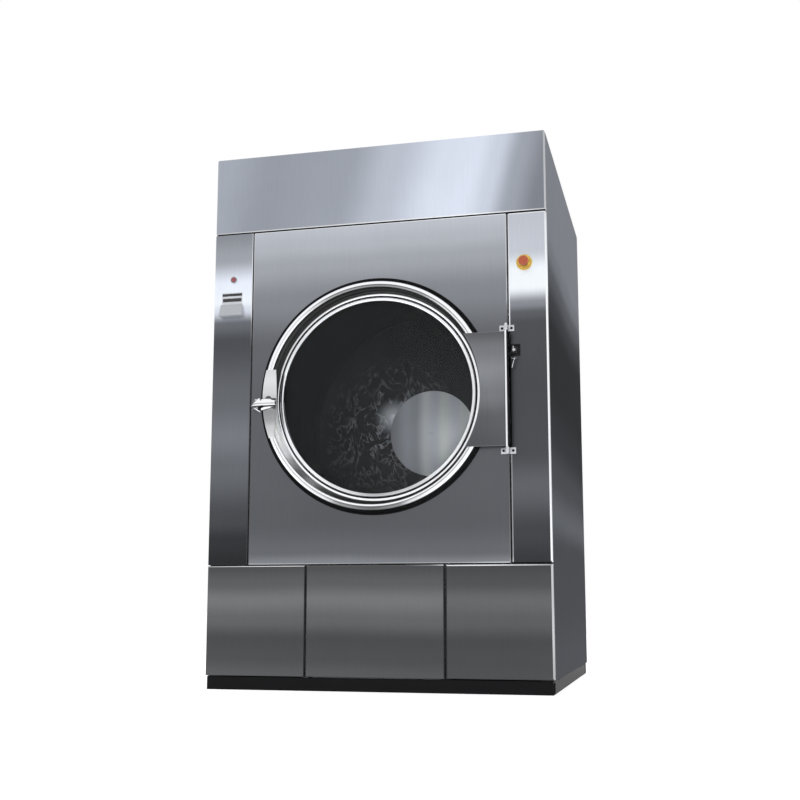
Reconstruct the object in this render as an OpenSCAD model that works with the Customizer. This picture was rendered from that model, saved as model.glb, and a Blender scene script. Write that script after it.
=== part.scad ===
// Industrial tumble dryer with a stainless steel casing, a round glazed door and a belt driven drum.
// Millimetres. The origin is on the floor under the middle of the casing. The front faces -Y, +X is to the
// right seen from the front, and +Z is up.

/* [Casing] */
// Width of the casing
body_w = 1420; // [1400:5:1480]
// Depth of the casing
body_d = 1460; // [1440:5:1560]
// Height of the casing above the floor
body_h = 2250; // [2200:10:2350]
// Height of the black plinth
plinth_h = 52; // [48:1:70]
// Setback of the plinth behind the panels
plinth_inset = 6; // [3:1:12]
// Thickness of the sheet metal
sheet = 2; // [1.5:0.25:2.5]
// Depth of the folded edges of the front panels
tray_d = 25; // [24:0.5:30]
// Width of the lips behind the folded edges
lip_w = 18; // [12:1:22]
// Gap between neighbouring panels
seam = 3; // [2.8:0.1:5]
// Height of the header panel
header_h = 339; // [310:5:345]
// Height of the lower panels
lower_h = 446; // [430:2:460]
// Width of the left column panel
left_column_w = 173; // [160:1:175]
// Width of the right column panel
right_column_w = 159; // [150:1:165]
// Width of the lint door
lint_door_w = 572; // [560:2:600]
// Depth of the folded edges of the lint door
lint_tray_d = 22; // [18:1:22]

/* [Frame] */
// Side of the square tube of the frame
post = 50; // [45:1:52]
// Wall of the square tube
post_wall = 3; // [2:0.5:4]
// Side of the square tube of the mullions
mullion = 40; // [36:1:44]
// Thickness of the floor pan
pan_t = 3; // [2:0.5:4]
// Width of the base frame members
base_w = 60; // [50:1:70]
// Radius of the anchor holes
anchor_r = 9; // [7:0.5:11]
// Distance of the anchor holes from the middle, to either side
anchor_x = 600; // [560:5:620]

/* [Door] */
// How far the door and drum axis lies under the middle of the front's middle field
door_drop = 21.5; // [10:0.5:30]
// Radius of the opening in the front
opening_r = 442; // [436:1:448]
// Outer radius of the black rubber ring round the opening
gasket_r = 489; // [482:1:492]
// Thickness of the black rubber ring
gasket_t = 6; // [4:0.5:8]
// Outer radius of the polished door ring
door_r = 472; // [467:1:477]
// Width of the polished rim of the door ring
rim_w = 26; // [23:1:30]
// How far the rim stands out of the panels
door_proud = 30; // [28:1:36]
// Radius of the rounded edges of the rim
rim_round = 9; // [6:0.5:10]
// Wall of the door ring
door_wall = 3; // [2.5:0.5:3.5]
// Depth of the glass seat behind the panels
seat_depth = 41; // [36:0.5:45]
// Gap between the dish of the door and the opening
dish_gap = 5; // [4:0.5:7]
// Radius of the glass that shows
glass_r = 399; // [391:1:403]
// Thickness of the glass
glass_t = 8; // [6:0.5:10]
// Thickness of the rubber behind the glass
glass_rubber_t = 1.5; // [1:0.25:2.5]
// Thickness of the clamp ring's plate
clamp_t = 2.5; // [2:0.25:4]
// Radius of the clamp ring's inner bead
inner_bead_r = 8; // [6:0.5:9]
// Radius of the clamp ring's outer bead
outer_bead_r = 7; // [5:0.5:8]

/* [Door hinge] */
// Distance of the hinge axis to the right of the door axis
hinge_x = 546; // [540:1:550]
// Height of the hinge plate
hinge_plate_h = 458; // [430:2:462]
// Thickness of the hinge plate
hinge_plate_t = 3; // [2.5:0.5:4]
// Radius of the arc cut into the hinge plate
hinge_arc_r = 440; // [434:1:444]
// Radius of the hinge pin
hinge_pin_r = 6; // [5:0.5:6.5]
// Wall of the rolled knuckle
knuckle_wall = 2; // [1.5:0.5:2.5]
// Distance of the hinge brackets above and below the door axis
bracket_off = 246; // [240:1:252]
// Width of a hinge bracket
bracket_w = 60; // [56:1:64]
// Height of a hinge bracket
bracket_h = 26; // [22:1:28]
// Thickness of a hinge bracket
bracket_t = 6; // [4:0.5:8]
// Shift of a hinge bracket to the right of the hinge axis
bracket_shift = 0; // [0:0.5:5]
// Distance between the two screws of a bracket
bracket_screws = 38; // [35:1:41]
// Radius of the bracket screws
screw_r = 3; // [2.5:0.25:3]

/* [Latch] */
// Height of the latch below the door axis
latch_drop = 24; // [14:1:32]
// Radius of the inner arc of the latch plate
latch_arc_r = 1400; // [1300:10:1500]
// Width of the latch plate
latch_plate_w = 62; // [58:1:66]
// Height of the latch plate
latch_plate_h = 286; // [270:2:300]
// Thickness of the latch plate
latch_plate_t = 3; // [2.5:0.5:4]
// Distance of the lever pivot inside the rim's outer edge
lever_pivot_in = 53; // [49:1:57]
// Height of the lever pivot above the latch plate
lever_pivot_h = 13; // [12:0.5:16]
// Length of the lever from its pivot to its tip
lever_l = 104; // [99:1:109]
// Height of the lever at its widest
lever_h = 50; // [44:1:56]
// Height of the lever at its pivot
lever_neck_h = 32; // [28:1:36]
// Thickness of the lever
lever_t = 22; // [18:1:24]
// Radius of the lever pin
lever_pin_r = 3; // [2.5:0.25:3.5]
// Width of the strike
strike_w = 34; // [30:1:36]
// Height of the strike
strike_h = 44; // [36:1:50]

/* [Controls] */
// Distance of the pilot lamp from the left edge
lamp_edge = 86; // [80:1:92]
// Height of the pilot lamp above the door axis
lamp_up = 525; // [505:1:535]
// Radius of the pilot lamp's bezel
lamp_r = 14; // [12:0.5:16]
// Distance of the controller's middle from the left edge
controller_edge = 81; // [76:1:84]
// Height of the controller's middle above the door axis
controller_up = 417; // [405:1:430]
// Width of the controller
controller_w = 92; // [88:1:96]
// Height of the controller
controller_h = 104; // [94:1:104]
// Depth of the controller behind the panel
controller_d = 20; // [14:1:21]
// Height of the flip cover
cover_h = 50; // [42:1:54]
// Width of the flip cover at its top
cover_top_w = 94; // [90:1:96]
// Width of the flip cover at its bottom
cover_bottom_w = 102; // [98:1:106]
// Depth of the flip cover at its top
cover_top_d = 12; // [10:0.5:14]
// Depth of the flip cover at its bottom
cover_bottom_d = 24; // [20:0.5:28]
// Wall of the flip cover
cover_wall = 2; // [1.5:0.25:2.5]
// Distance of the emergency stop from the right edge
stop_edge = 91; // [90:1:102]
// Height of the emergency stop above the door axis
stop_up = 515; // [496:1:520]
// Radius of the emergency stop's yellow disc
stop_disc_r = 32; // [30:0.5:34]
// Radius of the emergency stop's red head
stop_head_r = 20; // [18:0.5:22]
// Travel of the emergency stop
stop_travel = 6; // [4:0.5:7]
// Radius of the panel holes for lamp and emergency stop
panel_hole_r = 11.15; // [11:0.05:11.5]
// Distance of the key switch to the right of the hinge axis
key_right = 28; // [25:0.5:30]
// Height of the key switch above the door axis
key_up = 157; // [145:1:165]
// Side of the key switch's black plate
key_plate = 48; // [44:1:50]
// Thickness of the key switch's black plate
key_plate_t = 3; // [2:0.5:4]
// Radius of the key switch's polished collar
key_collar_r = 15; // [13:0.5:16]
// Radius of the key switch's turning plug
key_plug_r = 6; // [5:0.25:6.5]
// Radius of the key ring's wire
ring_wire_r = 0.9; // [0.7:0.1:1.2]
// Radius of the key ring
ring_r = 15; // [14:0.5:17]
// Length of the hanging key below its hole
spare_l = 38; // [32:1:42]
// Width of the hanging key
spare_w = 11; // [10:0.5:12]
// Tilt of the hanging key
spare_tilt = 14; // [0:1:18]
// Turn of the hanging key about its length
spare_turn = 40; // [30:1:45]

/* [Drum] */
// Room between the drum's radius and the half height of the middle field
drum_room = 106.5; // [100:0.5:120]
// Room between the drum and the side sheet
drum_side = 108; // [100:0.5:120]
// Length of the drum
drum_l = 1035; // [1015:5:1045]
// Radius of the drum's front opening
drum_lip_r = 457; // [454:1:460]
// Gap between the chamber's front wall and the drum
drum_gap = 8; // [6:1:12]
// Thickness of the drum's back
drum_back_t = 4; // [3:0.5:6]
// Radius of the bright hub cover
hub_r = 215; // [200:5:240]
// Depth of the bright hub cover
hub_h = 38; // [30:1:46]
// Number of lifters
lifters = 3; // [3:1:4]
// Height of a lifter
lifter_h = 95; // [80:1:110]
// Width of a lifter at the shell
lifter_w = 150; // [120:5:170]
// Radius of the drum shaft
shaft_r = 40; // [35:1:45]
// Radius of the shaft's flange
shaft_flange_r = 150; // [130:5:180]
// Distance between the drum's two bearings
bearing_gap = 120; // [110:2:125]
// Height of the bearing beams
beam_h = 80; // [70:1:90]
// Width of the bearing beams
beam_w = 60; // [56:1:64]
// Height of the drum bearings from foot to axis
pillow_h = 80; // [76:1:90]
// Width of a drum bearing's foot
pillow_foot_w = 260; // [240:5:280]

/* [Drive] */
// Radius of the drum pulley
drum_pulley_r = 400; // [380:5:420]
// Wall of the drum pulley's hub
pulley_hub_t = 35; // [30:1:40]
// Length of the drum pulley's hub
pulley_hub_l = 40; // [36:1:44]
// Radius of the jackshaft's small pulley
jack_small_r = 60; // [54:1:64]
// Radius of the jackshaft's large pulley
jack_large_r = 180; // [165:5:190]
// Radius of the motor pulley
motor_pulley_r = 50; // [44:1:54]
// Radius of the jackshaft
jack_r = 20; // [16:1:24]
// Distance of the jackshaft to the left of the drum axis
jack_left = 430; // [420:5:440]
// Height of the jackshaft bearings from foot to axis
jack_pillow_h = 70; // [64:1:76]
// Width of a jackshaft bearing's foot
jack_foot_w = 140; // [130:5:150]
// Width of the belts
belt_w = 24; // [20:1:28]
// Thickness of the belts
belt_t = 11; // [9:0.5:12]
// Radius of the drum motor
motor_r = 105; // [95:1:110]
// Length of the drum motor
motor_l = 290; // [260:5:310]
// Distance of the drum motor to the left of the drum axis
motor_left = 60; // [40:5:80]
// Radius of the motor shafts
motor_shaft_r = 14; // [12:0.5:16]

/* [Air] */
// Room between the heater duct and the side sheet
heater_side = 68; // [62:1:100]
// Half depth of the heater box
heater_half_d = 340; // [320:5:345]
// How far the coil reaches below its pipes
coil_below = 70; // [60:1:80]
// Outer radius of the steam nipples outside the back
pipe_r = 16.85; // [15:0.05:21.2]
// Wall of the steam nipples
pipe_wall = 3.2; // [2.6:0.1:3.6]
// Outer radius of the steam tubes inside the casing
tube_r = 14; // [11:0.5:14.5]
// How far the steam pipes stand out of the back
pipe_out = 60; // [50:1:80]
// Depth of the lint box
lint_box_d = 900; // [880:5:905]
// Radius of the fan wheel
fan_r = 180; // [170:1:185]
// Width of the fan housing
fan_w = 160; // [150:1:170]
// Radius of the scroll of the fan housing
scroll_r = 200; // [198:1:204]
// Radius of the fan inlet
fan_inlet_r = 105; // [95:1:108]
// Outer radius of the exhaust spigot
spigot_r = 125; // [115:1:127]
// How much narrower the spigot is where it passes the back
spigot_neck = 1; // [0.5:0.25:2]
// How far the exhaust spigot stands out of the back
spigot_out = 70; // [65:1:90]
// Radius of the fan motor
fan_motor_r = 90; // [80:1:95]

/* [Clearances] */
// Gap between the back and the collars of the spigot and the steam nipples
collar_gap = 3; // [2:0.5:5]
// Gap between seated parts of one body
seat_gap = 0.2; // [0.1:0.05:0.25]
// Gap between parts of different bodies
move_gap = 0.3; // [0.3:0.05:0.4]
// Radial clearance of pins and shafts in their bores
run_gap = 0.05; // [0.03:0.01:0.08]
// Width of the box with the contactors
control_box_w = 460; // [400:5:480]
// Height and depth of the box with the contactors
control_box_h = 200; // [180:5:220]
// Thickness of its open lid space
control_box_lid = 10; // [5:1:15]
// Distance of the box from the post
control_box_off = 20; // [10:1:30]

/* [Hidden] */

$fn = 96;

// Planes of the casing
front_y = -body_d / 2;
rear_y = body_d / 2;
edge_x = body_w / 2;
inner_x = edge_x - sheet;
header_z = body_h - header_h;
lower_z = plinth_h + lower_h;
left_seam_x = -edge_x + left_column_w;
right_seam_x = edge_x - right_column_w;
half_seam = seam / 2;
field_h = header_z - lower_z;
door_z = lower_z + field_h / 2 - door_drop;

// Planes of the frame
frame_y0 = front_y + tray_d;
frame_y1 = rear_y - sheet;
post_in_x = inner_x - post;
chamber_y0 = frame_y0 + post;
mid_rail_z = lower_z - post / 2;
head_rail_z = header_z - post / 2;
top_rail_z = body_h - sheet - post;
beam_z = door_z - pillow_h - beam_h;

// Planes of the drum and its drive
drum_r = min(inner_x - drum_side, field_h / 2 - drum_room);
drum_y0 = chamber_y0 + sheet + drum_gap;
drum_y1 = drum_y0 + drum_l;
bulkhead_y = drum_y1 + 25;
bearing_y1 = bulkhead_y + 65;
bearing_y2 = bearing_y1 + bearing_gap;
motor_belt_y = bearing_y2 + 25;
drum_belt_y = motor_belt_y + belt_w + 13;
shaft_end_y = drum_belt_y + belt_w / 2 + 16;
jack_rail_y = bearing_y1 + 20;
jack_z = mid_rail_z + post + jack_pillow_h;
rear_block_y = frame_y1 - post / 2;
front_block_y = jack_rail_y + post / 2;
motor_z = plinth_h + 10 + motor_r + 15;
drum_ratio_span = sqrt(pow(jack_left, 2) + pow(door_z - jack_z, 2));

// Places of the door
rim_in_r = door_r - rim_w;
dish_r = opening_r - dish_gap;
seat_front = -seat_depth + door_wall;
glass_back = seat_front + glass_rubber_t;
glass_front = glass_back + glass_t;
clamp_r = dish_r - door_wall - seat_gap;
glass_edge_r = clamp_r - 8;
hinge_h = door_proud + hinge_plate_t / 2;
knuckle_r = hinge_pin_r + knuckle_wall;
bracket_x = hinge_x + bracket_shift;
latch_z = door_z - latch_drop;
latch_top = door_proud + latch_plate_t;
lever_x = -door_r + lever_pivot_in;
lever_h0 = latch_top + lever_pivot_h;
strike_x = lever_x - lever_l - 2;
strike_top = lever_h0 - lever_t / 2 + 2 - move_gap;

// Places of the controls
lamp_x = -edge_x + lamp_edge;
lamp_z = door_z + lamp_up;
controller_x = -edge_x + controller_edge;
controller_z = door_z + controller_up;
cover_x = controller_x;
cover_top_z = controller_z - 2;
stop_x = edge_x - stop_edge;
stop_z = door_z + stop_up;
key_x = hinge_x + key_right;
key_z = door_z + key_up;
key_face = key_plate_t + 6;
ring_h = key_face + 12;
bow_r = 11;
bow_hole_r = 2.2;
ring_hole_z = key_z - bow_r + bow_hole_r + 1.8;
ring_top_z = ring_hole_z - bow_hole_r + ring_wire_r + move_gap;

// Places of the air path
wall_x = lint_door_w / 2 - mullion / 2;
lint_y0 = frame_y0 + 0.5;
lint_y1 = lint_y0 + lint_box_d;
fan_x0 = wall_x + 12;
fan_x1 = fan_x0 + fan_w;
fan_y = lint_y1 - 200;
fan_z = mid_rail_z - seat_gap * 2 - sheet - scroll_r - 2;
duct_z1 = fan_z + scroll_r;
duct_z0 = duct_z1 - 2 * spigot_r - 10;
duct_y1 = frame_y1 - 60;
duct_w = 2 * spigot_r + 10;
spigot_x = fan_x0 + duct_w / 2;
spigot_z = (duct_z0 + duct_z1) / 2;
heater_half_w = inner_x - heater_side;
pipe_x = heater_half_w - 100;
pipe_z = head_rail_z + post + 160;
pipe_step = 100;
gland_x = -edge_x + 150;
gland_z = body_h - 150;

// Puts a shape drawn in x and z, with its depth outwards, on the front plane
module on_front() {
    translate([0, front_y, 0]) rotate([90, 0, 0]) children();
}

// Puts a turned shape on an axis along Y, with its length growing backwards from y0
module along_y(x, y0, z) {
    translate([x, y0, z]) rotate([-90, 0, 0]) children();
}

// Puts a turned shape on an axis along X, with its length growing to the right from x0
module along_x(x0, y, z) {
    translate([x0, y, z]) rotate([0, 90, 0]) children();
}

// Box between two corners
module box(a, b) {
    translate(a) cube(b - a);
}

// Flat ring with its base at height 0
module ring(r_out, r_in, h) {
    difference() {
        cylinder(r = r_out, h = h);
        translate([0, 0, -1]) cylinder(r = r_in, h = h + 2);
    }
}

// Folded sheet panel with edges and lips, front face on the front plane
module tray(x0, x1, z0, z1, depth) {
    difference() {
        box([x0, front_y, z0], [x1, front_y + depth, z1]);
        box([x0 + sheet, front_y + sheet, z0 + sheet], [x1 - sheet, front_y + depth - sheet, z1 - sheet]);
        box([x0 + lip_w, front_y + sheet, z0 + lip_w], [x1 - lip_w, front_y + depth + 1, z1 - lip_w]);
    }
}

// Square tube along one axis between two corners, axis given by its number
module square_tube(a, b, axis) {
    inset = [for (i = [0 : 2]) i == axis ? -1 : post_wall];
    difference() {
        box(a, b);
        box(a + inset, b - inset);
    }
}

// Two dimensional bar with rounded front corners, between two radii and two heights
module round_bar(r0, r1, h0, h1, round_r) {
    translate([r0, h0]) square([r1 - r0, h1 - h0 - round_r]);
    translate([r0 + round_r, h0]) square([r1 - r0 - 2 * round_r, h1 - h0]);
    for (x = [r0 + round_r, r1 - round_r]) translate([x, h1 - round_r]) circle(r = round_r);
}

// Outline of a belt round two pulleys, the second one at distance d along x
module belt_outline(ra, rb, d) {
    hull() {
        circle(r = ra, $fn = 144);
        translate([d, 0]) circle(r = rb, $fn = 48);
    }
}

// Belt from the pulley at (xa, za) to the pulley at (xb, zb), middle plane at y
module belt(ra, rb, xa, za, xb, zb, y) {
    d = sqrt(pow(xb - xa, 2) + pow(zb - za, 2));
    turn = atan2(zb - za, xb - xa);
    inner_a = ra - belt_t - 1 + move_gap;
    inner_b = rb - belt_t - 1 + move_gap;
    translate([xa, y + belt_w / 2, za]) rotate([90, 0, 0]) rotate([0, 0, turn])
        linear_extrude(height = belt_w) difference() {
            belt_outline(inner_a + belt_t, inner_b + belt_t, d);
            belt_outline(inner_a, inner_b, d);
        }
}

// Pulley rim profile with one belt groove, from the bore outwards
module pulley(r, bore_r, hub_r, hub_w) {
    rim = belt_w + 8;
    groove_r = r - belt_t - 1;
    wheel_in = max(hub_r, groove_r - 16);
    rotate_extrude() {
        translate([bore_r, -hub_w / 2]) square([hub_r - bore_r, hub_w]);
        translate([hub_r - 1, -4]) square([wheel_in - hub_r + 2, 8]);
        translate([wheel_in, -rim / 2]) square([groove_r - wheel_in, rim]);
        for (s = [-1, 1]) translate([groove_r - 1, s > 0 ? belt_w / 2 + 0.4 : -rim / 2])
            square([r - groove_r + 1, rim / 2 - belt_w / 2 - 0.4]);
    }
}

// Pillow block standing at height 0 with its bore along Y at height h
module pillow(bore_r, h, depth, foot_w) {
    boss_r = bore_r + 22;
    difference() {
        union() {
            box([-foot_w / 2, -depth / 2, 0], [foot_w / 2, depth / 2, 18]);
            box([-boss_r, -depth / 2, 0], [boss_r, depth / 2, h]);
            translate([0, depth / 2, h]) rotate([90, 0, 0]) cylinder(r = boss_r, h = depth);
        }
        translate([0, depth / 2 + 1, h]) rotate([90, 0, 0]) cylinder(r = bore_r, h = depth + 2);
    }
}

// Rows of slots through a sheet, each slot along x
module slot_rows(x0, z0, count, w, h, pitch) {
    for (i = [0 : count - 1]) translate([x0, z0 + i * pitch]) square([w, h]);
}

// Black base of box section under the casing and the pan on it, with the anchor holes
module base_frame() {
    x1 = edge_x - plinth_inset;
    y1 = rear_y - plinth_inset;
    z1 = plinth_h - pan_t - seat_gap;
    color([0.06, 0.06, 0.065]) difference() {
        union() {
            for (s = [-1, 1]) {
                square_tube([-x1, s > 0 ? y1 - base_w : -y1, 0], [x1, s > 0 ? y1 : -y1 + base_w, z1], 0);
                square_tube([s > 0 ? x1 - base_w : -x1, -y1 + base_w + seat_gap, 0],
                    [s > 0 ? x1 : -x1 + base_w, y1 - base_w - seat_gap, z1], 1);
            }
            square_tube([-x1 + base_w + seat_gap, -base_w / 2, 0],
                [x1 - base_w - seat_gap, base_w / 2, z1], 0);
            box([-x1, -y1, plinth_h - pan_t], [x1, y1, plinth_h]);
        }
        anchor_holes();
    }
}

module anchor_holes() {
    y = rear_y - plinth_inset - base_w / 2;
    for (sx = [-1, 1]) for (sy = [-1, 1])
        translate([sx * anchor_x, sy * y, -1]) cylinder(r = anchor_r, h = plinth_h + 2);
}

// Four corner posts
module frame_posts() {
    color([0.4, 0.41, 0.42]) for (s = [-1, 1]) for (y = [frame_y0, frame_y1 - post]) {
        x = s > 0 ? post_in_x : -inner_x;
        square_tube([x, y, plinth_h], [x + post, y + post, body_h - sheet - seat_gap], 2);
    }
}

// Rail across the casing at height z, front face at y
module cross_rail(y, z) {
    x1 = post_in_x - seat_gap;
    square_tube([-x1, y, z], [x1, y + post, z + post], 0);
}

// Pair of rails along the sides at height z
module side_rails(z) {
    for (s = [-1, 1]) {
        x = s > 0 ? post_in_x : -inner_x;
        square_tube([x, chamber_y0 + seat_gap, z], [x + post, frame_y1 - post - seat_gap, z + post], 1);
    }
}

// Upright between two rails, centred on x
module upright(x, z0, z1) {
    square_tube([x - mullion / 2, frame_y0, z0 + seat_gap],
        [x + mullion / 2, frame_y0 + mullion, z1 - seat_gap], 2);
}

// Rails and mullions of the frame
module frame_rails() {
    color([0.42, 0.43, 0.44]) {
        for (z = [mid_rail_z, head_rail_z, top_rail_z]) {
            cross_rail(frame_y0, z);
            cross_rail(frame_y1 - post, z);
            side_rails(z);
        }
        side_rails(beam_z - post);
        cross_rail(jack_rail_y, mid_rail_z);
        for (x = [left_seam_x, right_seam_x]) upright(x, mid_rail_z + post, head_rail_z);
        for (s = [-1, 1]) upright(s * lint_door_w / 2, plinth_h, mid_rail_z);
    }
}

// Flat side sheet, side given by s
module side_panel(s) {
    x = s > 0 ? inner_x : -edge_x;
    color([0.47, 0.48, 0.5]) box([x, frame_y0 + seam, plinth_h], [x + sheet, rear_y, body_h]);
}

module left_side_panel() {
    side_panel(-1);
}

module right_side_panel() {
    side_panel(1);
}

// Rear sheet with the holes for the air and steam pipes, and vents for the drive
module rear_panel() {
    x1 = inner_x - seat_gap;
    color([0.5, 0.51, 0.53]) difference() {
        box([-x1, rear_y - sheet, plinth_h], [x1, rear_y, body_h]);
        along_y(spigot_x, rear_y - sheet - 1, spigot_z)
            cylinder(r = spigot_r - spigot_neck + seat_gap, h = sheet + 2);
        for (i = [0, 1]) along_y(pipe_x - i * pipe_step, rear_y - sheet - 1, pipe_z)
            cylinder(r = tube_r + seat_gap, h = sheet + 2);
        along_y(gland_x, rear_y - sheet - 1, gland_z) cylinder(r = 16 + seat_gap, h = sheet + 2);
        translate([0, rear_y + 1, 0]) rotate([90, 0, 0]) linear_extrude(height = sheet + 2) {
            for (x = [-420, -80, 260]) slot_rows(x, door_z + 430, 7, 160, 12, 30);
            for (x = [-560, -250]) slot_rows(x, plinth_h + 90, 7, 160, 12, 30);
        }
    }
}

// Top sheet with the slots of the air inlet
module top_panel() {
    x1 = inner_x - seat_gap;
    color([0.5, 0.51, 0.53]) difference() {
        box([-x1, frame_y0 + seam, body_h - sheet], [x1, rear_y - sheet - seat_gap, body_h]);
        translate([0, 0, body_h - sheet - 1]) linear_extrude(height = sheet + 2)
            for (x = [-500, -160, 180]) slot_rows(x, -230, 12, 300, 16, 40);
    }
}

// Panel across the top of the front
module header_panel() {
    color([0.66, 0.68, 0.7]) tray(-edge_x, edge_x, header_z + half_seam, body_h, tray_d);
}

// Left column with the holes for lamp and controller
module left_column_panel() {
    color([0.6, 0.62, 0.65]) difference() {
        tray(-edge_x, left_seam_x - half_seam, lower_z + half_seam, header_z - half_seam, tray_d);
        on_front() translate([lamp_x, lamp_z, -sheet - 1]) cylinder(r = panel_hole_r, h = sheet + 2);
        on_front() translate([controller_x, controller_z, 0])
            cube([controller_w + 2 * seat_gap, controller_h + 2 * seat_gap, 3 * sheet], center = true);
    }
}

// Right column with the holes for emergency stop, key switch and hinge screws
module right_column_panel() {
    color([0.6, 0.62, 0.65]) difference() {
        tray(right_seam_x + half_seam, edge_x, lower_z + half_seam, header_z - half_seam, tray_d);
        on_front() translate([stop_x, stop_z, -sheet - 1]) cylinder(r = panel_hole_r, h = sheet + 2);
        key_hole();
        screw_holes();
    }
}

// Hole of the key switch through the panel that it sits on
module key_hole() {
    on_front() translate([key_x, key_z, -sheet - 1]) cylinder(r = key_plug_r + 4 + seat_gap, h = sheet + 2);
}

// Holes of the hinge screws through the panels
module screw_holes() {
    on_front() for (s = [-1, 1]) for (t = [-1, 1])
        translate([bracket_x + t * bracket_screws / 2, door_z + s * bracket_off, -tray_d])
            cylinder(r = screw_r + 0.1, h = tray_d + 1);
}

// Panel round the door
module door_surround_panel() {
    color([0.5, 0.51, 0.53]) difference() {
        tray(left_seam_x + half_seam, right_seam_x - half_seam, lower_z + half_seam, header_z - half_seam,
            tray_d);
        on_front() translate([0, door_z, -sheet - 1]) cylinder(r = opening_r, h = sheet + 2);
        key_hole();
        screw_holes();
    }
}

module lower_left_panel() {
    color([0.4, 0.41, 0.43])
        tray(-edge_x, -lint_door_w / 2 - half_seam, plinth_h + seam, lower_z - half_seam, tray_d);
}

module lower_right_panel() {
    color([0.4, 0.41, 0.43])
        tray(lint_door_w / 2 + half_seam, edge_x, plinth_h + seam, lower_z - half_seam, tray_d);
}

// Black rubber ring that the door closes on
module opening_gasket() {
    color([0.02, 0.02, 0.02]) on_front() translate([0, door_z, 0])
        ring(gasket_r, opening_r + 5, gasket_t);
}

// Sleeve from the opening in the front to the drum
module door_throat() {
    y0 = front_y + sheet + seat_gap;
    color([0.7, 0.71, 0.72]) along_y(0, y0, door_z) {
        ring(opening_r + sheet, opening_r, drum_y0 + 6 - y0);
        ring(opening_r + 20, opening_r, sheet);
    }
}

// Places a bracket shape at the top and the bottom end of the hinge
module at_brackets() {
    on_front() for (s = [-1, 1]) translate([hinge_x, door_z + s * bracket_off, 0]) children();
}

// Two brackets that hold the hinge pin
module hinge_brackets() {
    color([0.75, 0.76, 0.77]) difference() {
        at_brackets() {
            translate([bracket_shift - bracket_w / 2, -bracket_h / 2, 0])
                cube([bracket_w, bracket_h, bracket_t]);
            translate([-knuckle_r, -bracket_h / 2, 0]) cube([2 * knuckle_r, bracket_h, hinge_h]);
            translate([0, bracket_h / 2, hinge_h]) rotate([90, 0, 0]) cylinder(r = knuckle_r, h = bracket_h);
        }
        translate([hinge_x, front_y - hinge_h, door_z - bracket_off - bracket_h])
            cylinder(r = hinge_pin_r + run_gap, h = 2 * bracket_off + 2 * bracket_h);
        at_brackets() for (t = [-1, 1]) translate([bracket_shift + t * bracket_screws / 2, 0, -1])
            cylinder(r = screw_r + 0.1, h = bracket_t + 2);
    }
}

// Four screws of the brackets
module hinge_screws() {
    color([0.12, 0.12, 0.13]) at_brackets() for (t = [-1, 1])
        translate([bracket_shift + t * bracket_screws / 2, 0, 0]) {
            translate([0, 0, -tray_d + 6]) cylinder(r = screw_r, h = tray_d - 6 + bracket_t + 1);
            translate([0, 0, bracket_t]) cylinder(r = 1.8 * screw_r, h = 3);
        }
}

// Long pin of the door hinge
module hinge_pin() {
    l = 2 * bracket_off + bracket_h + 4;
    color([0.85, 0.86, 0.87]) translate([hinge_x, front_y - hinge_h, door_z - l / 2])
        cylinder(r = hinge_pin_r, h = l);
}

// Wedge on the left that the lever closes over
module latch_strike() {
    color([0.8, 0.81, 0.82]) on_front() translate([strike_x, latch_z, 0]) difference() {
        translate([0, 0, 0]) rotate([90, 0, 0]) translate([0, 0, -strike_h / 2])
            linear_extrude(height = strike_h) polygon([
                [0, 0], [strike_w, 0], [strike_w, strike_top], [strike_w - 12, strike_top], [0, 8]]);
        translate([strike_w / 2, 0, -1]) for (s = [-1, 1]) translate([0, s * strike_h / 4, 0])
            cylinder(r = screw_r, h = strike_top + 2);
    }
}

// Walls of the hot chamber round the drum, open to the heater above and to the lint box below
module drum_chamber() {
    x1 = post_in_x - seat_gap;
    z0 = mid_rail_z + seat_gap;
    z1 = head_rail_z + post;
    y0 = chamber_y0 + seat_gap;
    roof_x = post_in_x + 30;
    color([0.62, 0.63, 0.64]) {
        for (s = [-1, 1]) {
            box([s > 0 ? x1 - sheet : -x1, y0 + sheet + seat_gap, z0],
                [s > 0 ? x1 : -x1 + sheet, bulkhead_y - seat_gap, z1 - seat_gap]);
            box([s > 0 ? wall_x - sheet : -x1 + sheet + seat_gap, y0 + sheet + seat_gap,
                z0 - seat_gap - sheet],
                [s > 0 ? x1 - sheet - seat_gap : -wall_x + sheet, bulkhead_y - seat_gap, z0 - seat_gap]);
        }
        box([-wall_x + sheet + seat_gap, lint_y1 + seat_gap, z0 - seat_gap - sheet],
            [wall_x - sheet - seat_gap, bulkhead_y - seat_gap, z0 - seat_gap]);
        difference() {
            box([-x1, y0, z0], [x1, y0 + sheet, z1 - seat_gap]);
            along_y(0, y0 - 1, door_z) cylinder(r = drum_lip_r + 5, h = sheet + 2);
        }
        difference() {
            box([-x1, bulkhead_y, z0 - sheet], [x1, bulkhead_y + sheet, z1 - seat_gap]);
            along_y(0, bulkhead_y - 1, door_z) cylinder(r = shaft_r + 20, h = sheet + 2);
        }
        box([-roof_x, y0, z1], [roof_x, -heater_half_d - 20 - seat_gap, z1 + sheet]);
        box([-roof_x, heater_half_d + 20 + seat_gap, z1], [roof_x, bulkhead_y + sheet, z1 + sheet]);
    }
}

// Two beams across the frame under the drum bearings
module bearing_beams() {
    x1 = inner_x - seat_gap;
    color([0.3, 0.31, 0.33]) for (y = [bearing_y1, bearing_y2]) difference() {
        box([-x1, y - beam_w / 2, beam_z], [x1, y + beam_w / 2, beam_z + beam_h]);
        box([-x1 - 1, y - beam_w / 2 + 5, beam_z + 5], [x1 + 1, y + beam_w / 2 - 5, beam_z + beam_h - 5]);
    }
}

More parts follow.
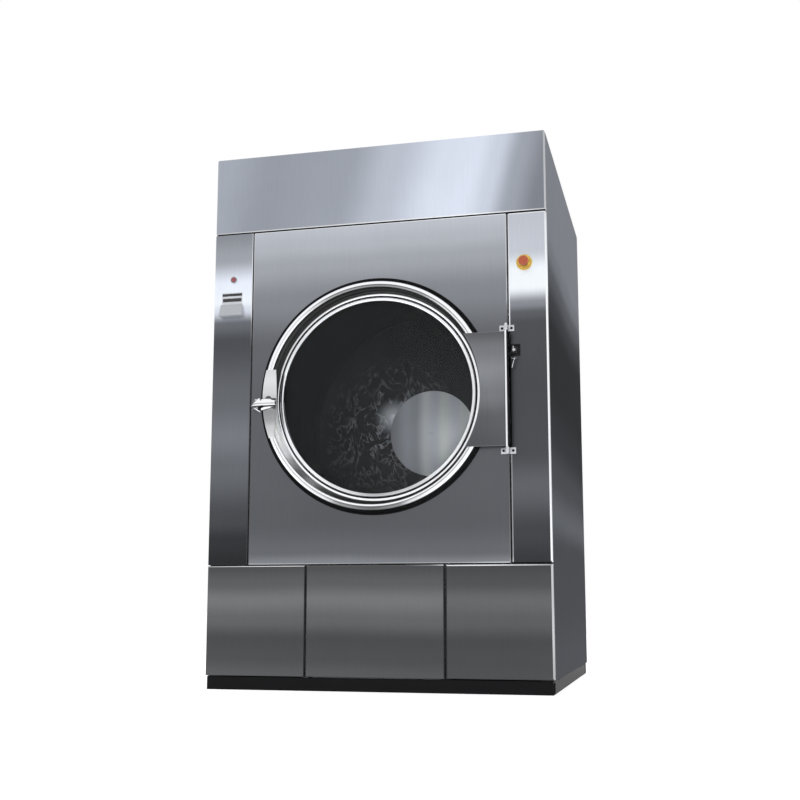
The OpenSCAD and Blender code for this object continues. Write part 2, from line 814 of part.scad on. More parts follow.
// Four bearings, two of the drum shaft and two of the jackshaft
module pillow_blocks() {
    color([0.15, 0.22, 0.3]) {
        for (y = [bearing_y1, bearing_y2]) translate([0, y, beam_z + beam_h])
            pillow(shaft_r + run_gap, pillow_h, beam_w - 4, pillow_foot_w);
        for (y = [front_block_y, rear_block_y]) translate([-jack_left, y, mid_rail_z + post])
            pillow(jack_r + run_gap, jack_pillow_h, post - 10, jack_foot_w);
    }
}

// Drum motor with its foot plate and terminal box
module drum_motor() {
    y1 = motor_belt_y - belt_w / 2 - 22;
    y0 = y1 - motor_l;
    color([0.25, 0.35, 0.5]) translate([-motor_left, 0, 0]) difference() {
        union() {
            along_y(0, y0, motor_z) cylinder(r = motor_r, h = motor_l);
            for (i = [0 : 8]) along_y(0, y0 + 30 + i * 24, motor_z) cylinder(r = motor_r + 6, h = 6);
            along_y(0, y0 - 30, motor_z) cylinder(r = motor_r - 10, h = 31);
            box([-motor_r, y0 + 20, plinth_h + 10 - 1], [motor_r, y1 - 20, motor_z - motor_r / 2]);
            box([-motor_r - 40, y0, plinth_h], [motor_r + 40, y1, plinth_h + 10]);
            box([-50, y0 + 60, motor_z], [50, y0 + 170, motor_z + motor_r + 45]);
        }
        along_y(0, y1 - 60, motor_z) cylinder(r = motor_shaft_r + run_gap, h = 61);
    }
}

// Belt from the drum to the jackshaft and belt from the jackshaft to the motor
module drive_belts() {
    color([0.04, 0.04, 0.04]) {
        belt(drum_pulley_r, jack_small_r, 0, door_z, -jack_left, jack_z, drum_belt_y);
        belt(jack_large_r, motor_pulley_r, -jack_left, jack_z, -motor_left, motor_z, motor_belt_y);
    }
}

// Duct with the steam coil, from the air inlet down to the drum chamber
module heater_box() {
    z0 = head_rail_z + post;
    z1 = body_h - sheet - seat_gap;
    w = heater_half_w;
    d = heater_half_d;
    color([0.66, 0.67, 0.68]) difference() {
        union() {
            box([-w, -d, z0], [w, d, z1]);
            box([-post_in_x - 30, -d - 20, z0], [post_in_x + 30, d + 20, z0 + sheet]);
        }
        box([-w + sheet, -d + sheet, z0 - 1], [w - sheet, d - sheet, z1 + 1]);
        for (i = [0, 1]) along_y(pipe_x - i * pipe_step, d - sheet - 1, pipe_z)
            cylinder(r = tube_r + seat_gap, h = sheet + 2);
    }
}

// Finned steam coil and its two pipes
module steam_coil() {
    w = heater_half_w - sheet - seat_gap;
    d = 230;
    z0 = pipe_z - coil_below;
    color([0.6, 0.45, 0.35]) {
        for (s = [-1, 1]) box([s > 0 ? w - 40 : -w, -d, z0], [s > 0 ? w : -w + 40, d, pipe_z + 50]);
        for (i = [0 : 12]) {
            x = -w + 40 + (i + 0.5) * (2 * w - 80) / 13;
            box([x - 1, -d, z0], [x + 1, d, pipe_z + 50]);
        }
        for (y = [-150, 0, 150]) for (z = [z0 + 30, pipe_z + 10])
            along_x(-w + 39, y, z) cylinder(r = 12, h = 2 * w - 78);
        for (i = [0, 1]) {
            box([pipe_x - i * pipe_step - 24, -d + 20, pipe_z - 24],
                [pipe_x - i * pipe_step + 24, d + 20, pipe_z + 24]);
            along_y(pipe_x - i * pipe_step, d + 19, pipe_z)
                difference() {
                    union() {
                        cylinder(r = tube_r, h = rear_y + collar_gap + 1 - d - 19);
                        translate([0, 0, rear_y + collar_gap - d - 19])
                            cylinder(r = pipe_r, h = pipe_out - collar_gap);
                    }
                    translate([0, 0, 20]) cylinder(r = tube_r - 1.5, h = rear_y + pipe_out - d);
                    translate([0, 0, rear_y + collar_gap + 3 - d - 19])
                        cylinder(r = pipe_r - pipe_wall, h = pipe_out);
                }
        }
    }
}

// Plates of the lint box behind the lint door
module lint_box() {
    z0 = plinth_h;
    z1 = mid_rail_z - sheet - seat_gap;
    color([0.6, 0.61, 0.62]) {
        box([-wall_x + sheet + seat_gap, lint_y0, z0], [wall_x - sheet - seat_gap, lint_y1, z0 + sheet]);
        box([-wall_x, lint_y0, z0], [-wall_x + sheet, lint_y1, z1]);
        difference() {
            box([wall_x - sheet, lint_y0, z0], [wall_x, lint_y1, z1]);
            along_x(wall_x - sheet - 1, fan_y, fan_z) cylinder(r = fan_inlet_r, h = sheet + 2);
        }
        box([-wall_x + sheet + seat_gap, lint_y1 - sheet, z0 + sheet + seat_gap],
            [wall_x - sheet - seat_gap, lint_y1, z1]);
    }
}

// Slotted screen that catches the lint
module lint_screen() {
    x1 = wall_x - sheet - seat_gap;
    z = mid_rail_z - 50;
    y0 = lint_y0 + 30;
    y1 = lint_y1 - sheet - seat_gap;
    pitch = (2 * x1 - 40) / 16;
    color([0.55, 0.56, 0.57]) difference() {
        box([-x1, y0, z], [x1, y1, z + 18]);
        for (i = [0 : 15]) box([-x1 + 20 + (i + 0.15) * pitch, y0 + 20, z - 1],
            [-x1 + 20 + (i + 0.85) * pitch, y1 - 20, z + 19]);
    }
}

// Two pivot pins of the lint door on small plates
pivot_in = 5.6;
pivot_r = 3;
pivot_x = -lint_door_w / 2 + half_seam + pivot_in;
pivot_y = front_y + pivot_in;
module lint_pivots() {
    tab_t = seam - 2 * 0.4;
    z_top = lower_z - half_seam;
    color([0.5, 0.5, 0.52]) {
        box([pivot_x - 12, pivot_y - 4, plinth_h], [pivot_x + 10, frame_y0, plinth_h + tab_t]);
        translate([pivot_x, pivot_y, plinth_h]) cylinder(r = pivot_r, h = seam + 10);
        box([pivot_x - 12, pivot_y - 4, z_top + 0.4], [pivot_x + 10, frame_y0, z_top + 0.4 + tab_t]);
        translate([pivot_x, pivot_y, z_top - 10]) cylinder(r = pivot_r, h = 11);
    }
}

// Fan scroll with its duct, exhaust spigot and inlet collar
module fan_housing() {
    t = sheet;
    color([0.58, 0.59, 0.6]) difference() {
        union() {
            along_x(fan_x0, fan_y, fan_z) cylinder(r = scroll_r, h = fan_w);
            box([fan_x0, fan_y, duct_z0], [fan_x1, fan_y + scroll_r + 60, duct_z1]);
            box([fan_x0, fan_y + scroll_r + 50, duct_z0], [fan_x0 + duct_w, duct_y1, duct_z1]);
            along_y(spigot_x, duct_y1 - 1, spigot_z)
                cylinder(r = spigot_r - spigot_neck, h = rear_y + collar_gap - duct_y1 + 2);
            along_y(spigot_x, rear_y + collar_gap, spigot_z)
                cylinder(r = spigot_r, h = spigot_out - collar_gap);
            along_x(wall_x + seat_gap, fan_y, fan_z) cylinder(r = fan_inlet_r + t, h = fan_x0 - wall_x);
            box([fan_x0, fan_y - 120, plinth_h], [fan_x1, fan_y + 120, fan_z - scroll_r / 2]);
        }
        along_x(fan_x0 + t, fan_y, fan_z) cylinder(r = scroll_r - t, h = fan_w - 2 * t);
        box([fan_x0 + t, fan_y, duct_z0 + t], [fan_x1 - t, fan_y + scroll_r + 60, duct_z1 - t]);
        box([fan_x0 + t, fan_y + scroll_r + 50 + t, duct_z0 + t],
            [fan_x0 + duct_w - t, duct_y1 - t, duct_z1 - t]);
        along_y(spigot_x, duct_y1 - 10, spigot_z)
            cylinder(r = spigot_r - spigot_neck - t, h = rear_y + spigot_out - duct_y1 + 20);
        along_x(wall_x - 1, fan_y, fan_z) cylinder(r = fan_inlet_r, h = fan_x0 - wall_x + t + 2);
        along_x(fan_x1 - t - 1, fan_y, fan_z) cylinder(r = 24, h = t + 2);
        box([fan_x0 + 10, fan_y - 110, plinth_h - 1], [fan_x1 - 10, fan_y + 110, plinth_h + 12]);
    }
}

// Fan motor on its pedestal
module fan_motor() {
    x0 = fan_x1 + seat_gap;
    l = 190;
    color([0.25, 0.35, 0.5]) difference() {
        union() {
            along_x(x0, fan_y, fan_z) cylinder(r = fan_motor_r, h = l);
            box([x0 + 20, fan_y - fan_motor_r, plinth_h], [x0 + l - 20, fan_y + fan_motor_r, plinth_h + 10]);
            box([x0 + 40, fan_y - 60, plinth_h], [x0 + l - 40, fan_y + 60, fan_z]);
        }
        along_x(x0 - 1, fan_y, fan_z) cylinder(r = 12 + run_gap, h = 61);
    }
}

// Box with the contactors behind the header
module control_box() {
    x0 = -post_in_x + control_box_off;
    y0 = chamber_y0 + control_box_off / 2;
    z0 = head_rail_z + post + sheet;
    far = [x0 + control_box_w, y0 + control_box_h, z0 + control_box_h];
    color([0.7, 0.71, 0.7]) difference() {
        box([x0, y0, z0], far);
        box([x0 + sheet, y0 + sheet, z0 + sheet], far - [sheet, control_box_lid, sheet]);
    }
}

// Body of the controller, set in the left column
module controller() {
    color([0.72, 0.74, 0.76]) on_front() {
        translate([controller_x, controller_z, -controller_d / 2])
            cube([controller_w, controller_h, controller_d], center = true);
        translate([controller_x - cover_top_w / 2 + 4, cover_top_z - cover_h + 4, -1])
            cube([cover_top_w - 8, cover_h - 8, 2]);
    }
}

// Two dark display windows of the controller
module display_windows() {
    color([0.03, 0.03, 0.03]) on_front() {
        translate([controller_x, controller_z + 42.5, 0.8]) cube([controller_w - 4, 12, 1.6], center = true);
        translate([controller_x, controller_z + 21, 0.8]) cube([controller_w - 8, 18, 1.6], center = true);
    }
}

// Red pilot lamp
module pilot_lamp() {
    color([0.75, 0.1, 0.12]) on_front() translate([lamp_x, lamp_z, 0]) {
        cylinder(r = lamp_r, h = 4);
        intersection() {
            translate([0, 0, 2]) sphere(r = lamp_r - 3);
            cylinder(r = lamp_r, h = lamp_r + 4);
        }
        translate([0, 0, -45]) cylinder(r = panel_hole_r - seat_gap, h = 46);
    }
}

// Yellow disc, collar and body of the emergency stop
module stop_base() {
    color([0.9, 0.7, 0.1]) on_front() translate([stop_x, stop_z, 0]) difference() {
        union() {
            cylinder(r = stop_disc_r, h = 4);
            cylinder(r = stop_head_r - 5, h = 13);
            translate([0, 0, -50]) cylinder(r = panel_hole_r - seat_gap, h = 51);
        }
        translate([0, 0, -35]) cylinder(r = 8 + run_gap, h = 60);
    }
}

// Black plate and polished collar of the key switch
module key_switch() {
    color([0.05, 0.05, 0.05]) on_front() translate([key_x, key_z, 0]) difference() {
        union() {
            translate([-key_plate / 2, -key_plate / 2, 0]) cube([key_plate, key_plate, key_plate_t]);
            cylinder(r = key_collar_r, h = key_face);
            translate([0, 0, -18]) cylinder(r = key_plug_r + 4, h = 19);
        }
        translate([0, 0, -16]) cylinder(r = key_plug_r + run_gap, h = 40);
    }
}

// Gland for the mains lead in the back
module cable_gland() {
    color([0.1, 0.1, 0.1]) along_y(gland_x, rear_y - 14, gland_z) difference() {
        union() {
            cylinder(r = 16, h = 30);
            translate([0, 0, 14]) cylinder(r = 22, h = 8, $fn = 6);
            translate([0, 0, 8]) cylinder(r = 22, h = 14 - sheet - 8, $fn = 6);
            translate([0, 0, 22]) cylinder(r = 19, h = 16);
        }
        translate([0, 0, -1]) cylinder(r = 11, h = 50);
    }
}

// Polished ring of the door: hollow rim, dish and glass seat
module door_ring() {
    h0 = gasket_t + move_gap;
    w = door_wall;
    color([0.82, 0.83, 0.84]) on_front() translate([0, door_z, 0]) rotate_extrude($fn = 180) {
        difference() {
            round_bar(rim_in_r, door_r, h0, door_proud, rim_round);
            round_bar(rim_in_r + w, door_r - w, h0 - 1, door_proud - w, rim_round - w);
        }
        polygon([
            [rim_in_r + 0.5, h0 + 10], [dish_r - w, 4], [dish_r - w, -seat_depth + w / 2],
            [dish_r, -seat_depth + w / 2], [dish_r, 2], [rim_in_r + 0.5, h0 + 6]]);
        translate([glass_r + 2, -seat_depth]) square([dish_r - glass_r - 2, w]);
    }
}

// Clamp ring with two polished beads, over the edge of the glass
module clamp_ring() {
    color([0.85, 0.86, 0.87]) on_front() translate([0, door_z, glass_front]) rotate_extrude($fn = 180) {
        translate([glass_r, 0]) square([clamp_r - glass_r, clamp_t]);
        for (b = [[glass_r + inner_bead_r, inner_bead_r], [clamp_r - outer_bead_r, outer_bead_r]])
            intersection() {
                translate([b[0], clamp_t]) circle(r = b[1], $fn = 48);
                translate([b[0] - b[1], 0]) square([2 * b[1], clamp_t + b[1]]);
            }
    }
}

// Rubber behind the glass and the black cord between the two beads
module glass_gasket() {
    groove_in = glass_r + 2 * inner_bead_r + 1;
    groove_out = clamp_r - 2 * outer_bead_r - 1;
    color([0.02, 0.02, 0.02]) on_front() translate([0, door_z, 0]) {
        translate([0, 0, seat_front]) ring(glass_edge_r, glass_r + 4, glass_rubber_t);
        translate([0, 0, glass_front + clamp_t]) ring(groove_out, groove_in, 2);
    }
}

module door_glass() {
    color([0.1, 0.12, 0.12, 0.35]) on_front() translate([0, door_z, glass_back])
        cylinder(r = glass_edge_r, h = glass_t, $fn = 180);
}

// Flat plate from the rim to the hinge, with its rolled knuckle
module hinge_plate() {
    knuckle_l = 2 * bracket_off - bracket_h - 1;
    color([0.55, 0.57, 0.6]) difference() {
        union() {
            on_front() translate([0, door_z, door_proud])
                linear_extrude(height = hinge_plate_t) difference() {
                    translate([300, -hinge_plate_h / 2]) square([hinge_x - 300, hinge_plate_h]);
                    circle(r = hinge_arc_r, $fn = 180);
                }
            translate([hinge_x, front_y - hinge_h, door_z - knuckle_l / 2])
                cylinder(r = knuckle_r, h = knuckle_l);
        }
        translate([hinge_x, front_y - hinge_h, door_z - bracket_off])
            cylinder(r = hinge_pin_r + run_gap, h = 2 * bracket_off);
    }
}

// Upright plate on the rim, lens shaped with blunt ends, with the two cheeks and the pin of the lever
module latch_plate() {
    cheek_z = lever_neck_h / 2 + 0.5;
    color([0.78, 0.79, 0.8]) on_front() {
        translate([0, door_z, door_proud]) linear_extrude(height = latch_plate_t) intersection() {
            circle(r = door_r, $fn = 180);
            translate([-door_r + latch_plate_w - latch_arc_r, 0]) circle(r = latch_arc_r, $fn = 360);
            translate([-door_r, -latch_drop - latch_plate_h / 2]) square([2 * latch_plate_w, latch_plate_h]);
        }
        for (s = [-1, 1]) translate([lever_x - 10, latch_z + (s > 0 ? cheek_z : -cheek_z - 4), latch_top - 1])
            cube([18, 4, lever_pivot_h + 6]);
        translate([lever_x, latch_z + cheek_z + 2, lever_h0]) rotate([90, 0, 0])
            cylinder(r = lever_pin_r, h = 2 * cheek_z + 4);
    }
}

// Disc of the lever across its height, at x and h
module lever_disc(x, h, r, w) {
    translate([x, latch_z + w / 2, h]) rotate([90, 0, 0]) cylinder(r = r, h = w, $fn = 32);
}

// Fish shaped lever of the latch, its tip over the strike
module latch_lever() {
    neck = lever_neck_h;
    neck_x = lever_x - 24;
    belly_x = lever_x - lever_l * 0.55;
    under = lever_h0 - lever_t / 2 + 2;
    color([0.88, 0.89, 0.9]) on_front() difference() {
        union() {
            hull() {
                lever_disc(lever_x, lever_h0, 8, neck);
                lever_disc(neck_x, lever_h0, 8.5, neck);
            }
            hull() {
                lever_disc(neck_x, lever_h0, 8.5, neck);
                lever_disc(belly_x, under + 9, 9, lever_h);
                lever_disc(belly_x, under + lever_t - 9, 9, lever_h / 2);
            }
            hull() {
                lever_disc(belly_x, under + 9, 9, lever_h);
                lever_disc(belly_x, under + lever_t - 9, 9, lever_h / 2);
                translate([lever_x - lever_l + 3, latch_z, under + 3]) sphere(r = 3, $fn = 24);
            }
        }
        translate([lever_x, latch_z + neck, lever_h0]) rotate([90, 0, 0])
            cylinder(r = lever_pin_r + run_gap, h = 2 * neck);
    }
}

// Drum shell with its front lip
module drum_shell() {
    color([0.35, 0.35, 0.36]) along_y(0, drum_y0, door_z) {
        ring(drum_r, drum_r - sheet, drum_l, $fn = 180);
        ring(drum_r, drum_lip_r, sheet, $fn = 180);
    }
}

module drum_back() {
    color([0.3, 0.3, 0.31]) along_y(0, drum_y1 - drum_back_t, door_z)
        ring(drum_r - sheet - seat_gap, shaft_r, drum_back_t);
}

// Bright domed cover in the middle of the drum back
module hub_cover() {
    dome_r = (pow(hub_r, 2) + pow(hub_h, 2)) / (2 * hub_h);
    color([0.75, 0.76, 0.77]) along_y(0, drum_y1 - drum_back_t - hub_h, door_z)
        rotate_extrude($fn = 120) intersection() {
            translate([0, dome_r]) circle(r = dome_r, $fn = 360);
            square([hub_r, hub_h]);
        }
}

// Ribs that lift the laundry
module drum_lifters() {
    r = drum_r - sheet - seat_gap;
    color([0.4, 0.4, 0.41]) along_y(0, drum_y0 + 30, door_z) for (i = [0 : lifters - 1])
        rotate([0, 0, i * 360 / lifters + 35]) intersection() {
            cylinder(r = r, h = drum_l - 80, $fn = 180);
            linear_extrude(height = drum_l - 80) polygon([
                [r + 5, -lifter_w / 2], [r - 20, -lifter_w / 2], [r - lifter_h, -lifter_w / 8],
                [r - lifter_h, lifter_w / 8], [r - 20, lifter_w / 2], [r + 5, lifter_w / 2]]);
        }
}

module drum_shaft() {
    color([0.6, 0.6, 0.62]) along_y(0, drum_y1 + seat_gap, door_z) {
        cylinder(r = shaft_flange_r, h = 12);
        cylinder(r = shaft_r, h = shaft_end_y - drum_y1 - seat_gap);
    }
}

module drum_pulley() {
    color([0.2, 0.2, 0.22]) along_y(0, drum_belt_y, door_z) difference() {
        pulley(drum_pulley_r, shaft_r + 0.02, shaft_r + pulley_hub_t, pulley_hub_l);
        for (i = [0 : 5]) rotate([0, 0, i * 60]) translate([drum_pulley_r * 0.56, 0, -10])
            cylinder(r = drum_pulley_r * 0.18, h = 20);
    }
}

// Jackshaft with its two pulleys
module jackshaft() {
    y0 = front_block_y - post / 2;
    y1 = rear_block_y + post / 2 - 5;
    color([0.45, 0.46, 0.48]) {
        along_y(-jack_left, y0, jack_z) cylinder(r = jack_r, h = y1 - y0);
        along_y(-jack_left, drum_belt_y, jack_z) pulley(jack_small_r, jack_r + 0.02, jack_r + 12, belt_w + 8);
        along_y(-jack_left, motor_belt_y, jack_z)
            pulley(jack_large_r, jack_r + 0.02, jack_r + 16, belt_w + 8);
    }
}

// Motor pulley with the end of the motor shaft
module motor_pulley() {
    y0 = motor_belt_y - belt_w / 2 - 22 - 50;
    color([0.3, 0.3, 0.32]) {
        along_y(-motor_left, motor_belt_y, motor_z)
            pulley(motor_pulley_r, motor_shaft_r + 0.02, motor_shaft_r + 10, belt_w + 8);
        along_y(-motor_left, y0, motor_z)
            cylinder(r = motor_shaft_r, h = motor_belt_y + belt_w / 2 + 8 - y0);
    }
}

// Fan wheel with its blades and shaft
module fan_wheel() {
    x0 = fan_x0 + sheet + 8;
    w = fan_w - 2 * sheet - 22;
    in_r = fan_inlet_r + 5;
    color([0.5, 0.51, 0.52]) along_x(x0, fan_y, fan_z) {
        ring(fan_r, in_r, 3);
        translate([0, 0, w - 4]) cylinder(r = fan_r, h = 4);
        for (i = [0 : 11]) rotate([0, 0, i * 30]) translate([in_r + 2, -2, 1]) rotate([0, 0, 0])
            cube([fan_r - in_r - 6, 4, w - 2]);
        translate([0, 0, w - 40]) cylinder(r = 30, h = 40);
        cylinder_shaft(w);
    }
}

// Shaft of the fan wheel that runs into the fan motor
module cylinder_shaft(w) {
    translate([0, 0, w - 20]) cylinder(r = 12, h = fan_x1 + 50 - (fan_x0 + sheet + 8) - w + 20);
}

// Middle lower panel on its two pivots
module lint_door() {
    x0 = -lint_door_w / 2 + half_seam;
    z0 = plinth_h + seam;
    z1 = lower_z - half_seam;
    color([0.42, 0.43, 0.45]) difference() {
        tray(x0, -x0, z0, z1, lint_tray_d);
        for (z = [z0 - 1, z1 - sheet - 1]) translate([pivot_x, pivot_y, z])
            cylinder(r = pivot_r + run_gap, h = sheet + 2);
    }
}

module stop_stem() {
    color([0.12, 0.12, 0.12]) on_front() translate([stop_x, stop_z, -25])
        cylinder(r = 8, h = 25 + 13 + stop_travel + 1 + 8);
}

module stop_head() {
    under = 13 + stop_travel + 1;
    color([0.85, 0.22, 0.08]) on_front() translate([stop_x, stop_z, under]) difference() {
        union() {
            cylinder(r = stop_head_r, h = 9);
            intersection() {
                translate([0, 0, 9 - stop_head_r * 0.9]) sphere(r = stop_head_r * 1.345);
                translate([0, 0, 9]) cylinder(r = stop_head_r, h = 12);
            }
        }
        translate([0, 0, -1]) cylinder(r = 8 + run_gap, h = 9.5);
    }
}

// Wedge shaped flip cover over the keypad of the controller, open at the back
module controller_cover() {
    t = cover_wall;
    z0 = cover_top_z - cover_h;
    module wedge(grow, bt) {
        y0 = front_y - 0.3;
        hull() {
            translate([cover_x - cover_top_w / 2 + grow, y0 - cover_top_d + bt, cover_top_z - t / 2 - grow])
                cube([cover_top_w - 2 * grow, cover_top_d + grow - bt, t / 2]);
            translate([cover_x - cover_bottom_w / 2 + grow, y0 - cover_bottom_d + bt, z0 + grow])
                cube([cover_bottom_w - 2 * grow, cover_bottom_d + grow - bt, t / 2]);
        }
    }
    color([0.85, 0.87, 0.9]) difference() {
        wedge(0, 0);
        wedge(t, t);
    }
}

// Key in the switch: plug and flat bow with its hole below the axis
module switch_key() {
    color([0.8, 0.8, 0.78]) on_front() translate([key_x, key_z, 0]) difference() {
        union() {
            translate([0, 0, -14]) cylinder(r = key_plug_r, h = 14 + key_face + 1);
            translate([-1.25, -bow_r, key_face + 0.5]) cube([2.5, 2 * bow_r, 20]);
        }
        translate([-2, ring_hole_z - key_z, ring_h]) rotate([0, 90, 0]) cylinder(r = bow_hole_r, h = 4);
    }
}

// Wire ring through the bow, with the second key hanging on it
module key_ring() {
    color([0.75, 0.75, 0.73]) on_front() translate([key_x, ring_top_z, ring_h]) {
        translate([0, -ring_r, 0]) rotate_extrude($fn = 64)
            translate([ring_r, 0]) circle(r = ring_wire_r, $fn = 16);
        translate([0, -2 * ring_r - 0.8, 0]) rotate([0, 0, -spare_tilt]) rotate([0, spare_turn, 0])
            rotate([0, 90, 0]) translate([0, 0, -1]) difference() {
                union() {
                    cylinder(r = spare_w / 2 + 1.5, h = 2);
                    translate([-spare_w / 3, -spare_l, 0]) cube([spare_w / 1.5, spare_l, 2]);
                }
                translate([0, 0, -1]) cylinder(r = 3.2, h = 4);
            }
    }
}

base_frame();
frame_posts();
frame_rails();
left_side_panel();
right_side_panel();
rear_panel();
top_panel();
header_panel();
left_column_panel();
right_column_panel();
door_surround_panel();
lower_left_panel();
lower_right_panel();
opening_gasket();
door_throat();
hinge_brackets();
hinge_screws();
hinge_pin();
latch_strike();
drum_chamber();
bearing_beams();
pillow_blocks();
drum_motor();
drive_belts();
heater_box();
steam_coil();
lint_box();
lint_screen();
lint_pivots();
fan_housing();
fan_motor();
control_box();
controller();
display_windows();
pilot_lamp();
stop_base();
key_switch();
cable_gland();
door_ring();
clamp_ring();
glass_gasket();
door_glass();
hinge_plate();
latch_plate();
latch_lever();
drum_shell();
drum_back();
hub_cover();
drum_lifters();
drum_shaft();
drum_pulley();
jackshaft();
motor_pulley();
fan_wheel();
lint_door();
stop_stem();
stop_head();
controller_cover();
switch_key();
key_ring();
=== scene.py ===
"""Looks of an industrial tumble dryer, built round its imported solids.

Everything is in metres in the frame of the solids: the origin is on the floor under the middle of the
casing, the front faces -Y, +X is to the right seen from the front and +Z is up.
"""

from __future__ import annotations

import logging
import math
from dataclasses import dataclass
from enum import Enum
from typing import Callable, Iterable, Sequence

import bmesh
import bpy
from mathutils import Matrix, Vector

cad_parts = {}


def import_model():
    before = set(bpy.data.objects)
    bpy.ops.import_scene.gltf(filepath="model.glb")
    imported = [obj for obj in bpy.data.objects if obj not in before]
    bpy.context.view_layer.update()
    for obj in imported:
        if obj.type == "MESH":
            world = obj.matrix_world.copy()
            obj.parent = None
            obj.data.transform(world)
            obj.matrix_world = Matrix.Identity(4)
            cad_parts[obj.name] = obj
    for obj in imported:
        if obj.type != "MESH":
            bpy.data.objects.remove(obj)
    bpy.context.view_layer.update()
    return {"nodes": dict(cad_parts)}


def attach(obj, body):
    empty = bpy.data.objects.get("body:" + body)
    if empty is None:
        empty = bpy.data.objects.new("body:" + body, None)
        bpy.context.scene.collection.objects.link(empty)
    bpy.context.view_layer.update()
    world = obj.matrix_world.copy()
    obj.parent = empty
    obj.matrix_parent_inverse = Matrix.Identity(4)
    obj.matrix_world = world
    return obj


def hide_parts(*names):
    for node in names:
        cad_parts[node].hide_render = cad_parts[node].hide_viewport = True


log = logging.getLogger("dryer")

FRONT = -0.730
DOOR_Z = 1.183
HINGE_X = 0.546
SHEET = 0.002
SEAM = 0.0015
MM = 0.001

Socket = bpy.types.NodeSocket
Stops = tuple[tuple[float, float], ...]


class Axis(Enum):
    """Direction along which a finish changes or its grain runs."""

    X = 0
    Y = 1
    Z = 2


class Role(Enum):
    """Which of a piece's finishes a face takes."""

    BODY = 0
    EDGE = 1
    ACCENT = 2
    LINE = 3


class Side(Enum):
    """Side of a folded panel, with its place among the panel's finishes."""

    LEFT = 1
    RIGHT = 2
    BOTTOM = 3
    TOP = 4


def shade(grey: float, blue: float = 0.0) -> tuple[float, float, float, float]:
    """Linear colour of a grey as it shows on a screen.

    Args:
        grey: value from 0 to 255.
        blue: how much cooler than neutral it is, in the same unit.

    Returns:
        Red, green, blue and alpha.
    """
    def linear(value: float) -> float:
        """One channel, made linear."""
        v = min(max(value, 0.0), 255.0) / 255.0
        return v / 12.92 if v <= 0.04045 else ((v + 0.055) / 1.055) ** 2.4

    return (linear(grey - 0.5 * blue), linear(grey), linear(grey + blue), 1.0)


class Nodes:
    """Node tree that is built up node by node."""

    def __init__(self, tree: bpy.types.NodeTree) -> None:
        """Takes the tree."""
        self.tree = tree

    def add(self, kind: str, **values: object) -> bpy.types.Node:
        """Adds a node.

        Args:
            kind: Blender's name of the node type.
            values: sockets by name with spaces as underscores, or the node's own settings in small letters.

        Returns:
            The node.
        """
        node = self.tree.nodes.new(kind)
        for key, value in values.items():
            if key[0].islower():
                setattr(node, key, value)
            else:
                self.feed(node.inputs[key.replace("_", " ")], value)
        return node

    def feed(self, socket: Socket, value: object) -> None:
        """Links a socket to an output, or sets its value."""
        if isinstance(value, bpy.types.NodeSocket):
            self.tree.links.new(value, socket)
        else:
            socket.default_value = value

    def math(self, operation: str, *values: object) -> Socket:
        """Result of a math node on up to three values or outputs."""
        node = self.add("ShaderNodeMath", operation=operation)
        for socket, value in zip(node.inputs, values):
            self.feed(socket, value)
        return node.outputs[0]

    def seen(self) -> Socket:
        """1 for camera, glossy and transmission rays, otherwise 0."""
        rays = self.add("ShaderNodeLightPath").outputs
        shown_or_mirrored = self.math("MAXIMUM", rays["Is Camera Ray"], rays["Is Glossy Ray"])
        return self.math("MAXIMUM", shown_or_mirrored, rays["Is Transmission Ray"])


